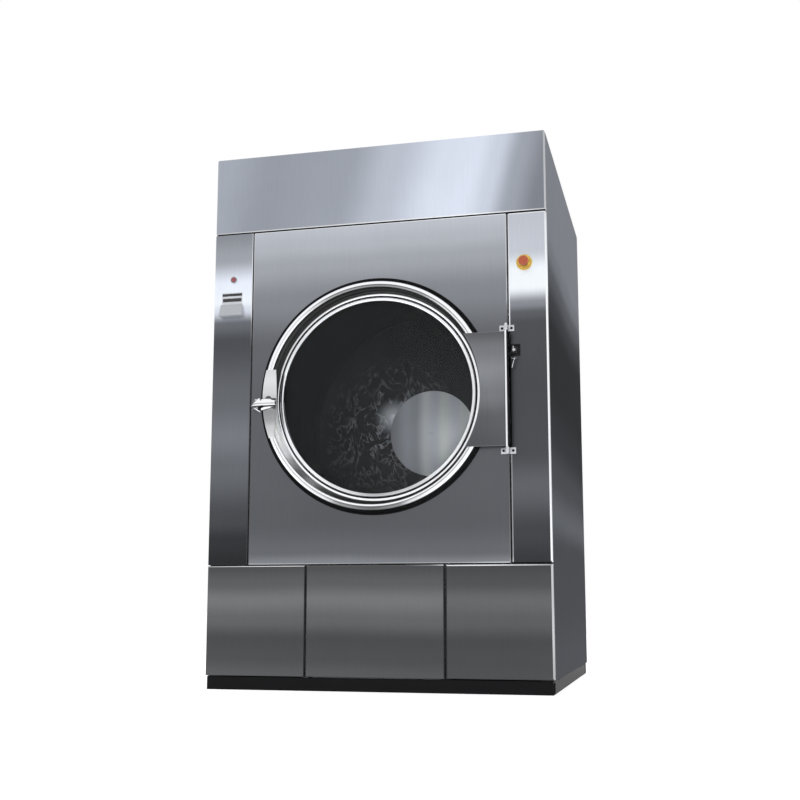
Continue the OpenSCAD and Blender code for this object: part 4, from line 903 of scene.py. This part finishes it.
    def sheets(self) -> None:
        """Finishes of the plain sheets and of the base."""
        side = BrushedSteel("side_steel", (
            (0.05, 127), (0.35, 120), (0.56, 119), (0.68, 145), (0.84, 120), (1.02, 96), (1.20, 86),
            (1.45, 86), (1.56, 106), (1.67, 138), (1.76, 170), (1.85, 181), (2.25, 183)), blue=10.0,
            mottle=0.05, rough=0.5, edge_tint=0.0)
        plain = BrushedSteel("rear_steel", ((0.0, 150), (0.7, 172), (1.4, 160), (2.25, 188)), blue=9.0)
        top = BrushedSteel("top_steel", ((-0.73, 190), (0.0, 172), (0.73, 184)), along=Axis.Y,
                           grain=Axis.Y, blue=9.0)
        black = Coat("base_paint", (0.008, 0.008, 0.009), rough=0.5, uneven=0.25, gloss=0.1)
        self.dress(side.build(), "left_side_panel", "right_side_panel")
        self.dress(plain.build(), "rear_panel")
        self.dress(top.build(), "top_panel")
        self.dress(black.build(), "base_frame")

    def build(self) -> None:
        """Builds and dresses the casing."""
        self.front()
        self.sheets()


@dataclass
class Opening(Assembly):
    """Black rubber ring and sleeve of the round opening."""

    inner: float = 0.447
    outer: float = 0.489
    thick: float = 0.006
    rounding: float = 0.0022
    groove_r: float = 0.480
    groove_half: float = 0.0015
    groove_deep: float = 0.001

    def build(self) -> None:
        """Builds the ring and dresses the sleeve."""
        rubber = Coat("black_rubber", (0.004, 0.004, 0.0045), rough=0.62, relief=0.0003, gloss=0.08).build()
        r = self.rounding
        profile = [(self.inner, 0.0), (self.outer, 0.0)]
        profile += arc_points(self.outer - r, self.thick - r, r, 0, 90, 4)
        profile += [(self.groove_r + self.groove_half, self.thick),
                    (self.groove_r, self.thick - self.groove_deep),
                    (self.groove_r - self.groove_half, self.thick)]
        profile += arc_points(self.inner + r, self.thick - r, r, 90, 180, 4)
        new_piece("opening_rubber", revolved(profile, 0, DOOR_Z), "cabinet", [rubber],
                  ["opening_gasket"])
        sleeve = Coat("sleeve_steel", (0.16, 0.165, 0.17), metallic=1.0, rough=0.3).build()
        self.dress(sleeve, "door_throat")


@dataclass
class Door(Assembly):
    """Polished ring with its glass, hinge plate and latch."""

    rim_in: float = 0.446
    rim_out: float = 0.472
    proud: float = 0.030
    start: float = 0.0063
    dish: float = 0.437
    seat: float = -0.041
    wall: float = 0.003
    glass_r: float = 0.399
    clamp_r: float = 0.4338
    glass_front: float = -0.0285
    arc_r: float = 0.440
    plate_h: float = 0.458
    plate_t: float = 0.003
    plate_edge: float = 0.0008
    roll_h: float = 0.465
    roll_r: float = 0.008
    roll_bore: float = 0.00605
    latch_z: float = 1.159
    latch_h: float = 0.286
    latch_w: float = 0.062
    latch_arc: float = 1.400
    cheek_off: float = 0.0185
    pivot_x: float = -0.419

    def ring(self) -> None:
        """Polished rim with its fine groove, and the dish that runs down to the glass."""
        # Rim, groove and dish: painted reflections in bands by angle round the door axis; the dish is mostly
        # dark with a painted bright patch at the lower left.
        outer = PolishedRing("rim_outer", (
            (-180, 250), (-135, 250), (-118, 225), (-106, 140), (-90, 104), (-78, 130), (-68, 215),
            (-58, 250), (0, 245), (60, 252), (110, 250), (180, 250))).build()
        inner = PolishedRing("rim_inner", (
            (-180, 248), (-90, 252), (-60, 246), (0, 235), (30, 232), (50, 205), (64, 150),
            (90, 132), (112, 150), (122, 205), (135, 242), (180, 248))).build()
        groove = PolishedRing("rim_groove", (
            (-180, 225), (-150, 196), (-110, 120), (-60, 70), (-30, 90), (30, 170), (60, 90),
            (90, 62), (115, 80), (130, 200), (180, 235))).build()
        dish = PolishedRing("dish_chrome", (
            (-180, 70), (-178, 250), (-171, 255), (-158, 255), (-150, 244), (-143, 160), (-134, 100),
            (-127, 150), (-119, 60), (-108, 26), (-60, 20), (0, 22), (60, 16), (120, 22),
            (150, 40), (174, 34), (180, 70)), rough=0.34, metal=0.2).build()
        w = self.wall
        r0, r1, top = self.rim_in, self.rim_out, self.proud
        line = r0 + 0.0105
        profile = [(r1, self.start)]
        profile += arc_points(r1 - 0.0095, top - 0.0095, 0.0095, 0, 90, 8)
        profile += [(line + 0.0011, top), (line + 0.0006, top - 0.0011), (line - 0.0006, top - 0.0011),
                    (line - 0.0011, top - 0.0002)]
        profile += arc_points(r0 + 0.0075, top - 0.0077, 0.0075, 90, 180, 6)
        bowl = [(r0, 0.0175), (r0 - 0.0035, 0.0135), (r0 - 0.0080, 0.0088), (self.dish - w, 0.004),
                (self.dish - w, self.seat + w), (self.glass_r + 0.002, self.seat + w),
                (self.glass_r + 0.002, self.seat), (self.dish, self.seat), (self.dish, 0.002),
                (r0 + 0.001, 0.0125), (r0 + 0.002, self.start)]

        def zone(r: float, h: float) -> Role:
            """Zone of the ring's section that a face lies in."""
            if r < r0 + 0.0003 or h < self.start + 0.001:
                return Role.ACCENT
            if abs(r - line) < 0.0012 and h > top - 0.003:
                return Role.LINE
            return Role.BODY if r > line else Role.EDGE

        new_piece("door_rim", revolved(profile + bowl, 0, DOOR_Z, 256, zone), "door",
                  [outer, inner, dish, groove], ["door_ring"], crease=50.0)

    def clamp(self) -> None:
        """Two polished beads over the edge of the glass, with the black cord between them."""
        far = PolishedRing("bead_outer", (
            (-180, 250), (-150, 246), (-135, 253), (-70, 253), (-48, 238), (-30, 236), (-10, 244),
            (15, 240), (35, 248), (60, 253), (105, 253), (125, 236), (145, 216), (160, 222),
            (180, 250)), rough=0.16).build()
        near = PolishedRing("bead_inner", (
            (-180, 246), (-168, 226), (-155, 248), (-130, 250), (-108, 226), (-90, 186), (-72, 206),
            (-45, 240), (-20, 232), (0, 230), (20, 240), (40, 252), (90, 250), (130, 242),
            (150, 232), (166, 248), (180, 250)), rough=0.16).build()
        base, t = self.glass_front, 0.0025
        deck = base + t
        inner, outer = self.glass_r + 0.008, self.clamp_r - 0.007
        gap_in, gap_out = inner + 0.008, outer - 0.007
        profile = [(self.glass_r, base), (self.glass_r, deck)]
        profile += bead_points(inner, deck, 0.008, 18)
        profile += bead_points(outer, deck, 0.007, 16)
        profile += [(self.clamp_r, base)]
        middle = 0.5 * (gap_in + gap_out)
        new_piece("clamp_beads", revolved(profile, 0, DOOR_Z, 256,
                                          lambda r, h: Role.BODY if r > middle else Role.EDGE),
                  "door", [far, near], ["clamp_ring"])
        rubber = Coat("cord_rubber", (0.004, 0.004, 0.0045), rough=0.55, gloss=0.08).build()
        cord = [(gap_in, deck), (gap_out, deck)]
        cord += [(r, deck + (h - deck) * 0.8) for r, h in arc_points(middle, deck, 0.0023, 0, 180, 8)[1:-1]]
        back = self.seat + self.wall
        seat = [(self.glass_r + 0.004, back), (self.clamp_r - 0.0081, back),
                (self.clamp_r - 0.0081, back + 0.0015), (self.glass_r + 0.004, back + 0.0015)]
        new_piece("glass_cords", joined([revolved(cord, 0, DOOR_Z), revolved(seat, 0, DOOR_Z)]), "door",
                  [rubber], ["glass_gasket"])

    def pane(self) -> None:
        """Finish of the glass."""
        self.dress(DoorPane("pane", (0.02, 0.022, 0.024), 0.16).build(), "door_glass")

    def hinge(self) -> None:
        """Flat plate cut in an arc round the ring, with its rolled knuckle; the plate has painted bands of
        light and shade and a painted highlight on its rounded edge, the knuckle a painted highlight down its
        front and painted shade down its right side.
        """
        plate = BrushedSteel("hinge_steel", (
            (0.95, 88), (1.06, 96), (1.16, 121), (1.26, 138), (1.34, 124), (1.42, 95)), blue=9.0,
            mottle=0.05, wander=0.01).build()
        edge = Coat("hinge_edge_highlight", (0.42, 0.43, 0.45), metallic=1.0, rough=0.25).build()
        bright = Coat("knuckle_highlight", (0.9, 0.91, 0.93), metallic=1.0, rough=0.16, uneven=0.05).build()
        shade_side = Coat("knuckle_shade", (0.02, 0.02, 0.023), metallic=0.6, rough=0.4, gloss=0.1).build()
        half = self.plate_h / 2
        start = math.degrees(math.asin(half / self.arc_r))
        outline = [(HINGE_X, -half), (HINGE_X, half)]
        outline += arc_points(0, 0, self.arc_r, start, -start, 40)
        outline = [(x, DOOR_Z + z) for x, z in outline]
        bm = slab(outline, self.proud, self.proud + self.plate_t, self.plate_edge)
        roll = bmesh.new()
        end, radius, bore = self.roll_h / 2, self.roll_r, self.roll_bore
        y = FRONT - self.proud - self.plate_t / 2
        verts = [roll.verts.new((HINGE_X + r, y, DOOR_Z + z)) for r, z in (
            (bore, -end), (radius - 0.0006, -end), (radius, 0.0007 - end), (radius, end - 0.0007),
            (radius - 0.0006, end), (bore, end))]
        edges = [roll.edges.new(p) for p in zip(verts, verts[1:] + verts[:1])]
        bmesh.ops.spin(roll, geom=verts + edges, cent=(HINGE_X, y, 0), axis=(0, 0, 1), angle=math.tau,
                       steps=48, use_merge=True)
        bmesh.ops.recalc_face_normals(roll, faces=roll.faces[:])
        # Knuckle faces: painted shade down the right side, a painted highlight across the front, and the
        # plate's finish at the far left.
        for f in roll.faces:
            across = (f.calc_center_median().x - HINGE_X) / radius
            role = Role.LINE if across > 0.3 else Role.BODY if across < -0.62 else Role.ACCENT
            f.material_index = role.value
        new_piece("hinge_leaf", joined([bm, roll]), "door", [plate, edge, bright, shade_side],
                  ["hinge_plate"])

    def latch(self) -> None:
        """Lens shaped plate with its blunt ends and cheeks, and the two part lever."""
        z0 = self.latch_z
        plate_steel = BrushedSteel("latch_steel", tuple((z0 + up, grey) for up, grey in (
            (-0.143, 226), (-0.105, 206), (-0.06, 160), (-0.03, 150), (0.02, 196), (0.05, 214), (0.10, 226),
            (0.143, 218))), rough=0.2, mottle=0.1, blue=2.0, wander=0.006).build()
        dark = Coat("cheek_steel", (0.11, 0.11, 0.12), metallic=1.0, rough=0.3, uneven=0.25).build()
        shift = -self.rim_out + self.latch_w - self.latch_arc
        heights = [z0 - DOOR_Z + self.latch_h * (i / 60 - 0.5) for i in range(61)]
        left = [(-math.sqrt(self.rim_out ** 2 - z * z), z) for z in heights]
        right = [(shift + math.sqrt(self.latch_arc ** 2 - z * z), z) for z in reversed(heights)]
        top = self.proud + self.plate_t
        plate = slab([(x, DOOR_Z + z) for x, z in left + right], self.proud, top, self.plate_edge)
        parts = [painted(plate, Role.BODY)]
        for side in (-1, 1):
            z = z0 + side * self.cheek_off
            cheek = block((self.pivot_x - 0.010, FRONT - top - 0.018, z - 0.002),
                          (self.pivot_x + 0.008, FRONT - top + 0.001, z + 0.002), 0.0012)
            parts.append(painted(cheek, Role.EDGE))
        disc = [(0.0, 0.0), (0.0145, 0.0), (0.0145, 0.0012), (0.0132, 0.0018), (0.0, 0.0018)]
        parts.append(revolved(disc, self.pivot_x - 0.027, z0 + 0.019, 40, lambda r, h: Role.EDGE, False,
                              FRONT - top + 0.0002))
        new_piece("latch_lens", joined(parts), "door", [plate_steel, dark], ["latch_plate"])
        # Lever bands: painted highlights along the body and bar, with a painted dark line of shade low on the
        # body where it meets the bar.
        lever = BrushedSteel("lever_chrome", tuple((z0 + up, grey) for up, grey in (
            (-0.038, 220), (-0.030, 248), (-0.014, 250), (-0.0120, 70), (-0.0095, 60), (-0.006, 240),
            (0.0, 160), (0.003, 246), (0.020, 252), (0.026, 220))), rough=0.14, mottle=0.06, blue=2.0,
            wander=0.0012, grain=Axis.X).build()
        new_piece("latch_fish", self.lever(self.pivot_x, top), "latch", [lever],
                  ["latch_lever"], crease=30.0)

    def lever(self, pivot: float, top: float) -> bmesh.types.BMesh:
        """Fish shaped lever: its body with the upper fin, the bar below it and the lower fin.

        Each is a row of ellipses in millimetres from the pivot: x, z, half height, half depth and depth.

        Args:
            pivot: place of the pivot pin along x.
            top: height of the plate's face.

        Returns:
            The mesh.
        """
        body = ((7.5, 1.5, 12.0, 7.0, 13.0), (-4, 1.5, 13.5, 8.5, 13.0), (-14, 4.0, 15.0, 9.0, 13.0),
                (-34, 5.0, 15.0, 9.6, 13.0), (-50, 6.0, 14.5, 9.8, 13.0), (-55, 0.5, 11.0, 9.4, 12.5),
                (-61, 7.0, 19.0, 9.0, 12.5), (-68, 4.5, 18.5, 8.4, 11.5), (-82, -1.0, 12.0, 6.8, 9.5),
                (-92, -6.0, 7.0, 5.0, 7.6), (-100.5, -9.5, 3.0, 2.0, 5.6))
        bar = ((-1, -13.5, 1.8, 3.0, 9.0), (-14, -15.0, 4.2, 5.4, 10.0), (-34, -18.0, 6.0, 6.6, 10.5),
               (-48, -21.0, 6.8, 6.6, 10.0), (-53.5, -22.5, 6.0, 5.0, 9.0))
        fin = ((-58, -34.0, 2.0, 2.6, 7.0), (-62, -31.0, 3.6, 4.6, 8.0), (-74, -23.5, 3.8, 4.8, 8.0),
               (-83, -18.0, 3.2, 3.8, 7.0), (-88, -15.5, 1.6, 2.4, 6.0))
        parts = []
        for sections in (body, bar, fin):
            places = []
            for x, mid_z, half_z, half_h, mid_h in sections:
                at = Vector((pivot, FRONT - top, self.latch_z)) + MM * Vector((x, -mid_h, mid_z))
                stretch = Matrix(((0, 0, 1), (0, -half_h * MM, 0), (half_z * MM, 0, 0)))
                places.append(Matrix.Translation(at) @ stretch.to_4x4())
            parts.append(tube(places, 20))
        return joined(parts)

    def build(self) -> None:
        """Builds and dresses the door."""
        self.ring()
        self.clamp()
        self.pane()
        self.hinge()
        self.latch()


@dataclass
class HingeMount(Assembly):
    """Brackets, screws and pin of the hinge, and the strike of the latch."""

    off: float = 0.246
    screw_off: float = 0.019
    width: float = 0.060
    height: float = 0.026
    foot: float = 0.006
    boss_reach: float = 0.0395
    boss_half: float = 0.008

    def build(self) -> None:
        """Builds the brackets and dresses the rest."""
        bright = Coat("bracket_steel", (0.60, 0.61, 0.64), metallic=1.0, rough=0.42, uneven=0.06).build()
        dark = Coat("screw_steel", (0.012, 0.012, 0.014), metallic=0.5, rough=0.4, gloss=0.1).build()
        pin = Coat("pin_chrome", (0.85, 0.86, 0.88), metallic=1.0, rough=0.12).build()
        parts = []
        for side in (-1, 1):
            x, z = HINGE_X, DOOR_Z + side * self.off
            parts.append(block((x - self.width / 2, FRONT - self.foot, z - self.height / 2),
                               (x + self.width / 2, FRONT, z + self.height / 2), 0.0015))
            parts.append(block((x - self.boss_half, FRONT - self.boss_reach, z - self.height / 2),
                               (x + self.boss_half, FRONT - 0.004, z + self.height / 2), 0.0055, 5))
        new_piece("bracket_pair", joined(parts), "cabinet", [bright, bright],
                  ["hinge_brackets"])
        profile = [(0.0, 0.006), (0.0054, 0.006), (0.0054, 0.0076), (0.0046, 0.0086), (0.0028, 0.009),
                   (0.0024, 0.0074), (0.0, 0.0074)]
        screws = [revolved(profile, HINGE_X + way * self.screw_off, DOOR_Z + side * self.off, 32,
                           closed=False) for side in (-1, 1) for way in (-1, 1)]
        new_piece("bracket_screws", joined(screws), "cabinet", [dark], ["hinge_screws"])
        self.dress(pin, "hinge_pin")
        self.dress(bright, "latch_strike")


@dataclass
class Drum(Assembly):
    """Perforated drum with its lifters, back and hub cover, the hub cover made bright by painted reflection.
    """

    def build(self) -> None:
        """Dresses the drum and its hub cover."""
        self.dress(PerforatedSteel("drum_perforated", 42.0).build(), "drum_shell")
        self.dress(Coat("lifter_steel", (0.05, 0.05, 0.052), metallic=0.9, rough=0.4, uneven=0.4,
                               scale=30.0).build(), "drum_lifters")
        # Drum back: painted reflections in curled streaks round one place and a painted highlight spot at
        # another, on dark steel.
        reflecting_back = PaintedReflectionSteel("back_steel", 42.0, (-0.22, 1.20, 0.42), (-0.20, 1.27, 0.11))
        self.dress(reflecting_back.build(), "drum_back")
        self.dress(Coat("shaft_steel", (0.3, 0.3, 0.31), metallic=1.0, rough=0.35).build(), "drum_shaft")
        # Hub cover: pale with painted reflection, darker at the left and brightest to the right, in vertical
        # streaks.
        hub = BrushedSteel("hub_steel", (
            (-0.215, 176), (-0.13, 214), (-0.08, 200), (-0.03, 250), (0.02, 232), (0.06, 253),
            (0.12, 240), (0.16, 253), (0.215, 250)), along=Axis.X, rough=0.3, mottle=0.04, blue=16.0,
            wander=0.004, metal=0.1).build()
        self.dress(hub, "hub_cover")


@dataclass
class Controls(Assembly):
    """Pilot lamp, controller with its flip cover, emergency stop and key switch."""

    lamp: tuple[float, float] = (-0.624, 1.708)
    panel: tuple[float, float] = (-0.629, 1.600)
    stop: tuple[float, float] = (0.619, 1.698)
    key: tuple[float, float] = (0.574, 1.340)
    hole: float = 0.0109
    stem_bore: float = 0.0081
    collar_bore: float = 0.0061
    face_w: float = 0.092
    face_h: float = 0.104
    key_plate: float = 0.048
    key_plate_t: float = 0.003

    def pilot(self) -> None:
        """Red pilot lamp in its bezel."""
        red = Coat("lamp_red", (0.36, 0.055, 0.07), rough=0.15, coat=0.6, uneven=0.15).build()
        bezel = Coat("lamp_bezel", (0.35, 0.35, 0.36), metallic=1.0, rough=0.25).build()
        profile = [(self.hole, -0.02), (self.hole, 0.0), (0.014, 0.0), (0.014, 0.0026), (0.0132, 0.004),
                   (0.0112, 0.004), (0.0106, 0.0034)]
        profile += arc_points(0.0, 0.002, 0.0108, 8, 90, 10)
        bm = revolved(profile + [(0.0, -0.02)], *self.lamp, 48,
                      lambda r, h: Role.EDGE if r > 0.0106 and h < 0.0042 else Role.BODY, closed=False)
        new_piece("pilot_lens", bm, "cabinet", [red, bezel], ["pilot_lamp"])

    def controller(self) -> None:
        """Face of the controller with its dark windows, and the wedge shaped flip cover."""
        x, z = self.panel
        grey = Coat("controller_grey", (0.78, 0.81, 0.86), rough=0.4, uneven=0.05).build()
        dark = Coat("window_black", (0.008, 0.008, 0.01), rough=0.12, coat=0.5).build()
        pale = Coat("cover_pale", (0.52, 0.54, 0.575), rough=0.3, uneven=0.05, coat=0.3).build()
        w, h = self.face_w / 2, self.face_h / 2
        face = block((x - w, FRONT - 0.0005, z - h), (x + w, FRONT + 0.018, z + h), 0.0004, 1)
        new_piece("controller_face", face, "cabinet", [grey, grey], ["controller"])
        panes = [block((x - half, FRONT - 0.0016, z + low), (x + half, FRONT - 0.0004, z + high), 0.0005, 2)
                 for half, low, high in ((0.044, 0.0370, 0.0480), (0.042, 0.0125, 0.0270))]
        new_piece("window_panes", joined(panes), "cabinet", [dark, dark],
                  ["display_windows"])
        self.dress(pale, "controller_cover")

    def emergency(self) -> None:
        """Yellow disc, black stem and red mushroom head."""
        yellow = Coat("disc_yellow", (0.85, 0.55, 0.10), rough=0.4).build()
        red = Coat("head_red", (0.50, 0.085, 0.018), rough=0.28, coat=0.4, uneven=0.08).build()
        black = Coat("stem_black", (0.012, 0.012, 0.012), rough=0.4).build()
        disc = [(self.hole, -0.02), (self.hole, 0.0), (0.032, 0.0), (0.032, 0.003), (0.031, 0.004),
                (0.0155, 0.004), (0.015, 0.0045), (0.015, 0.0122), (0.0142, 0.013),
                (self.stem_bore, 0.013), (self.stem_bore, -0.02)]
        bm = revolved(disc, *self.stop, 64, lambda r, h: Role.EDGE if h > 0.0041 else Role.BODY)
        new_piece("stop_disc", bm, "cabinet", [yellow, black], ["stop_base"])
        head = [(self.stem_bore, 0.020), (0.0175, 0.020), (0.0192, 0.0208), (0.020, 0.0225), (0.020, 0.0270),
                (0.0196, 0.0290), (0.0180, 0.0312), (0.0155, 0.0335), (0.0120, 0.0355), (0.0080, 0.0368),
                (0.0040, 0.0376), (0.0, 0.0379), (0.0, 0.0295), (self.stem_bore, 0.0293)]
        bm = revolved(head, *self.stop, 64, closed=False)
        new_piece("stop_mushroom", bm, "stop_button", [red], ["stop_head"])
        self.dress(black, "stop_stem")

    def key_lock(self) -> None:
        """Black plate with its polished collar, the key in it and the ring with the spare key."""
        x, z = self.key
        black = Coat("plate_black", (0.006, 0.006, 0.007), rough=0.35, gloss=0.15).build()
        chrome = Coat("collar_chrome", (0.035, 0.035, 0.038), metallic=1.0, rough=0.12, uneven=0.4).build()
        half, t = self.key_plate / 2, self.key_plate_t
        plate = painted(block((x - half, FRONT - t, z - half), (x + half, FRONT, z + half), 0.0012),
                        Role.BODY)
        collar = [(self.collar_bore, 0.002), (0.015, 0.002), (0.015, 0.0070), (0.0142, 0.0086),
                  (0.0125, 0.009), (0.0080, 0.009), (0.0072, 0.0082), (self.collar_bore, 0.0080)]
        turned = revolved(collar, x, z, 48, lambda r, h: Role.EDGE)
        new_piece("key_plate", joined([plate, turned]), "cabinet", [black, chrome],
                  ["key_switch"])
        bright = Coat("key_metal", (0.66, 0.66, 0.67), metallic=1.0, rough=0.22, uneven=0.3).build()
        self.dress(bright, "switch_key")
        hung = BrushedSteel("spare_key_steel", (
            (z - 0.085, 246), (z - 0.040, 240), (z - 0.032, 70), (z + 0.03, 44)), rough=0.2, blue=3.0,
            mottle=0.1, wander=0.001).build()
        self.dress(hung, "key_ring")

    def build(self) -> None:
        """Builds and dresses all controls."""
        self.pilot()
        self.controller()
        self.emergency()
        self.key_lock()


@dataclass
class Works(Assembly):
    """Frame, drive and air parts inside the casing and at its back."""

    def build(self) -> None:
        """Dresses the parts that show through the vents, the opening or the lint door."""
        groups = (
            (Coat("frame_paint", (0.16, 0.165, 0.175), rough=0.5),
             ("frame_posts", "frame_rails", "bearing_beams")),
            (Coat("zinc_sheet", (0.42, 0.43, 0.44), metallic=0.9, rough=0.42, uneven=0.22, scale=25.0),
             ("drum_chamber", "heater_box", "lint_box", "lint_screen", "fan_housing", "fan_wheel")),
            (Coat("pulley_iron", (0.05, 0.055, 0.065), metallic=0.3, rough=0.5, relief=0.0004),
             ("lint_pivots", "pillow_blocks", "drum_pulley", "jackshaft", "motor_pulley")),
            (Coat("motor_blue", (0.04, 0.09, 0.18), rough=0.45), ("drum_motor", "fan_motor")),
            (Coat("coil_copper", (0.62, 0.33, 0.2), metallic=1.0, rough=0.35, uneven=0.25), ("steam_coil",)),
            (Coat("belt_rubber", (0.015, 0.015, 0.015), rough=0.7, relief=0.0004), ("drive_belts",)),
            (Coat("gland_nylon", (0.015, 0.015, 0.016), rough=0.45), ("cable_gland",)),
            (Coat("box_paint", (0.5, 0.5, 0.48), rough=0.45), ("control_box",)),
        )
        for coat, names in groups:
            self.dress(coat.build(), *names)


def main() -> None:
    """Loads the solids, then builds each sub-assembly in turn."""
    logging.basicConfig(level=logging.INFO, format="%(name)s: %(message)s")
    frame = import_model()
    nodes = frame["nodes"]
    Studio().build()
    for assembly in (Casing(nodes), Opening(nodes), Door(nodes), HingeMount(nodes), Drum(nodes),
                     Controls(nodes), Works(nodes)):
        log.info("building %s", type(assembly).__name__)
        assembly.build()
    bpy.context.view_layer.update()


if __name__ == "__main__":
    main()
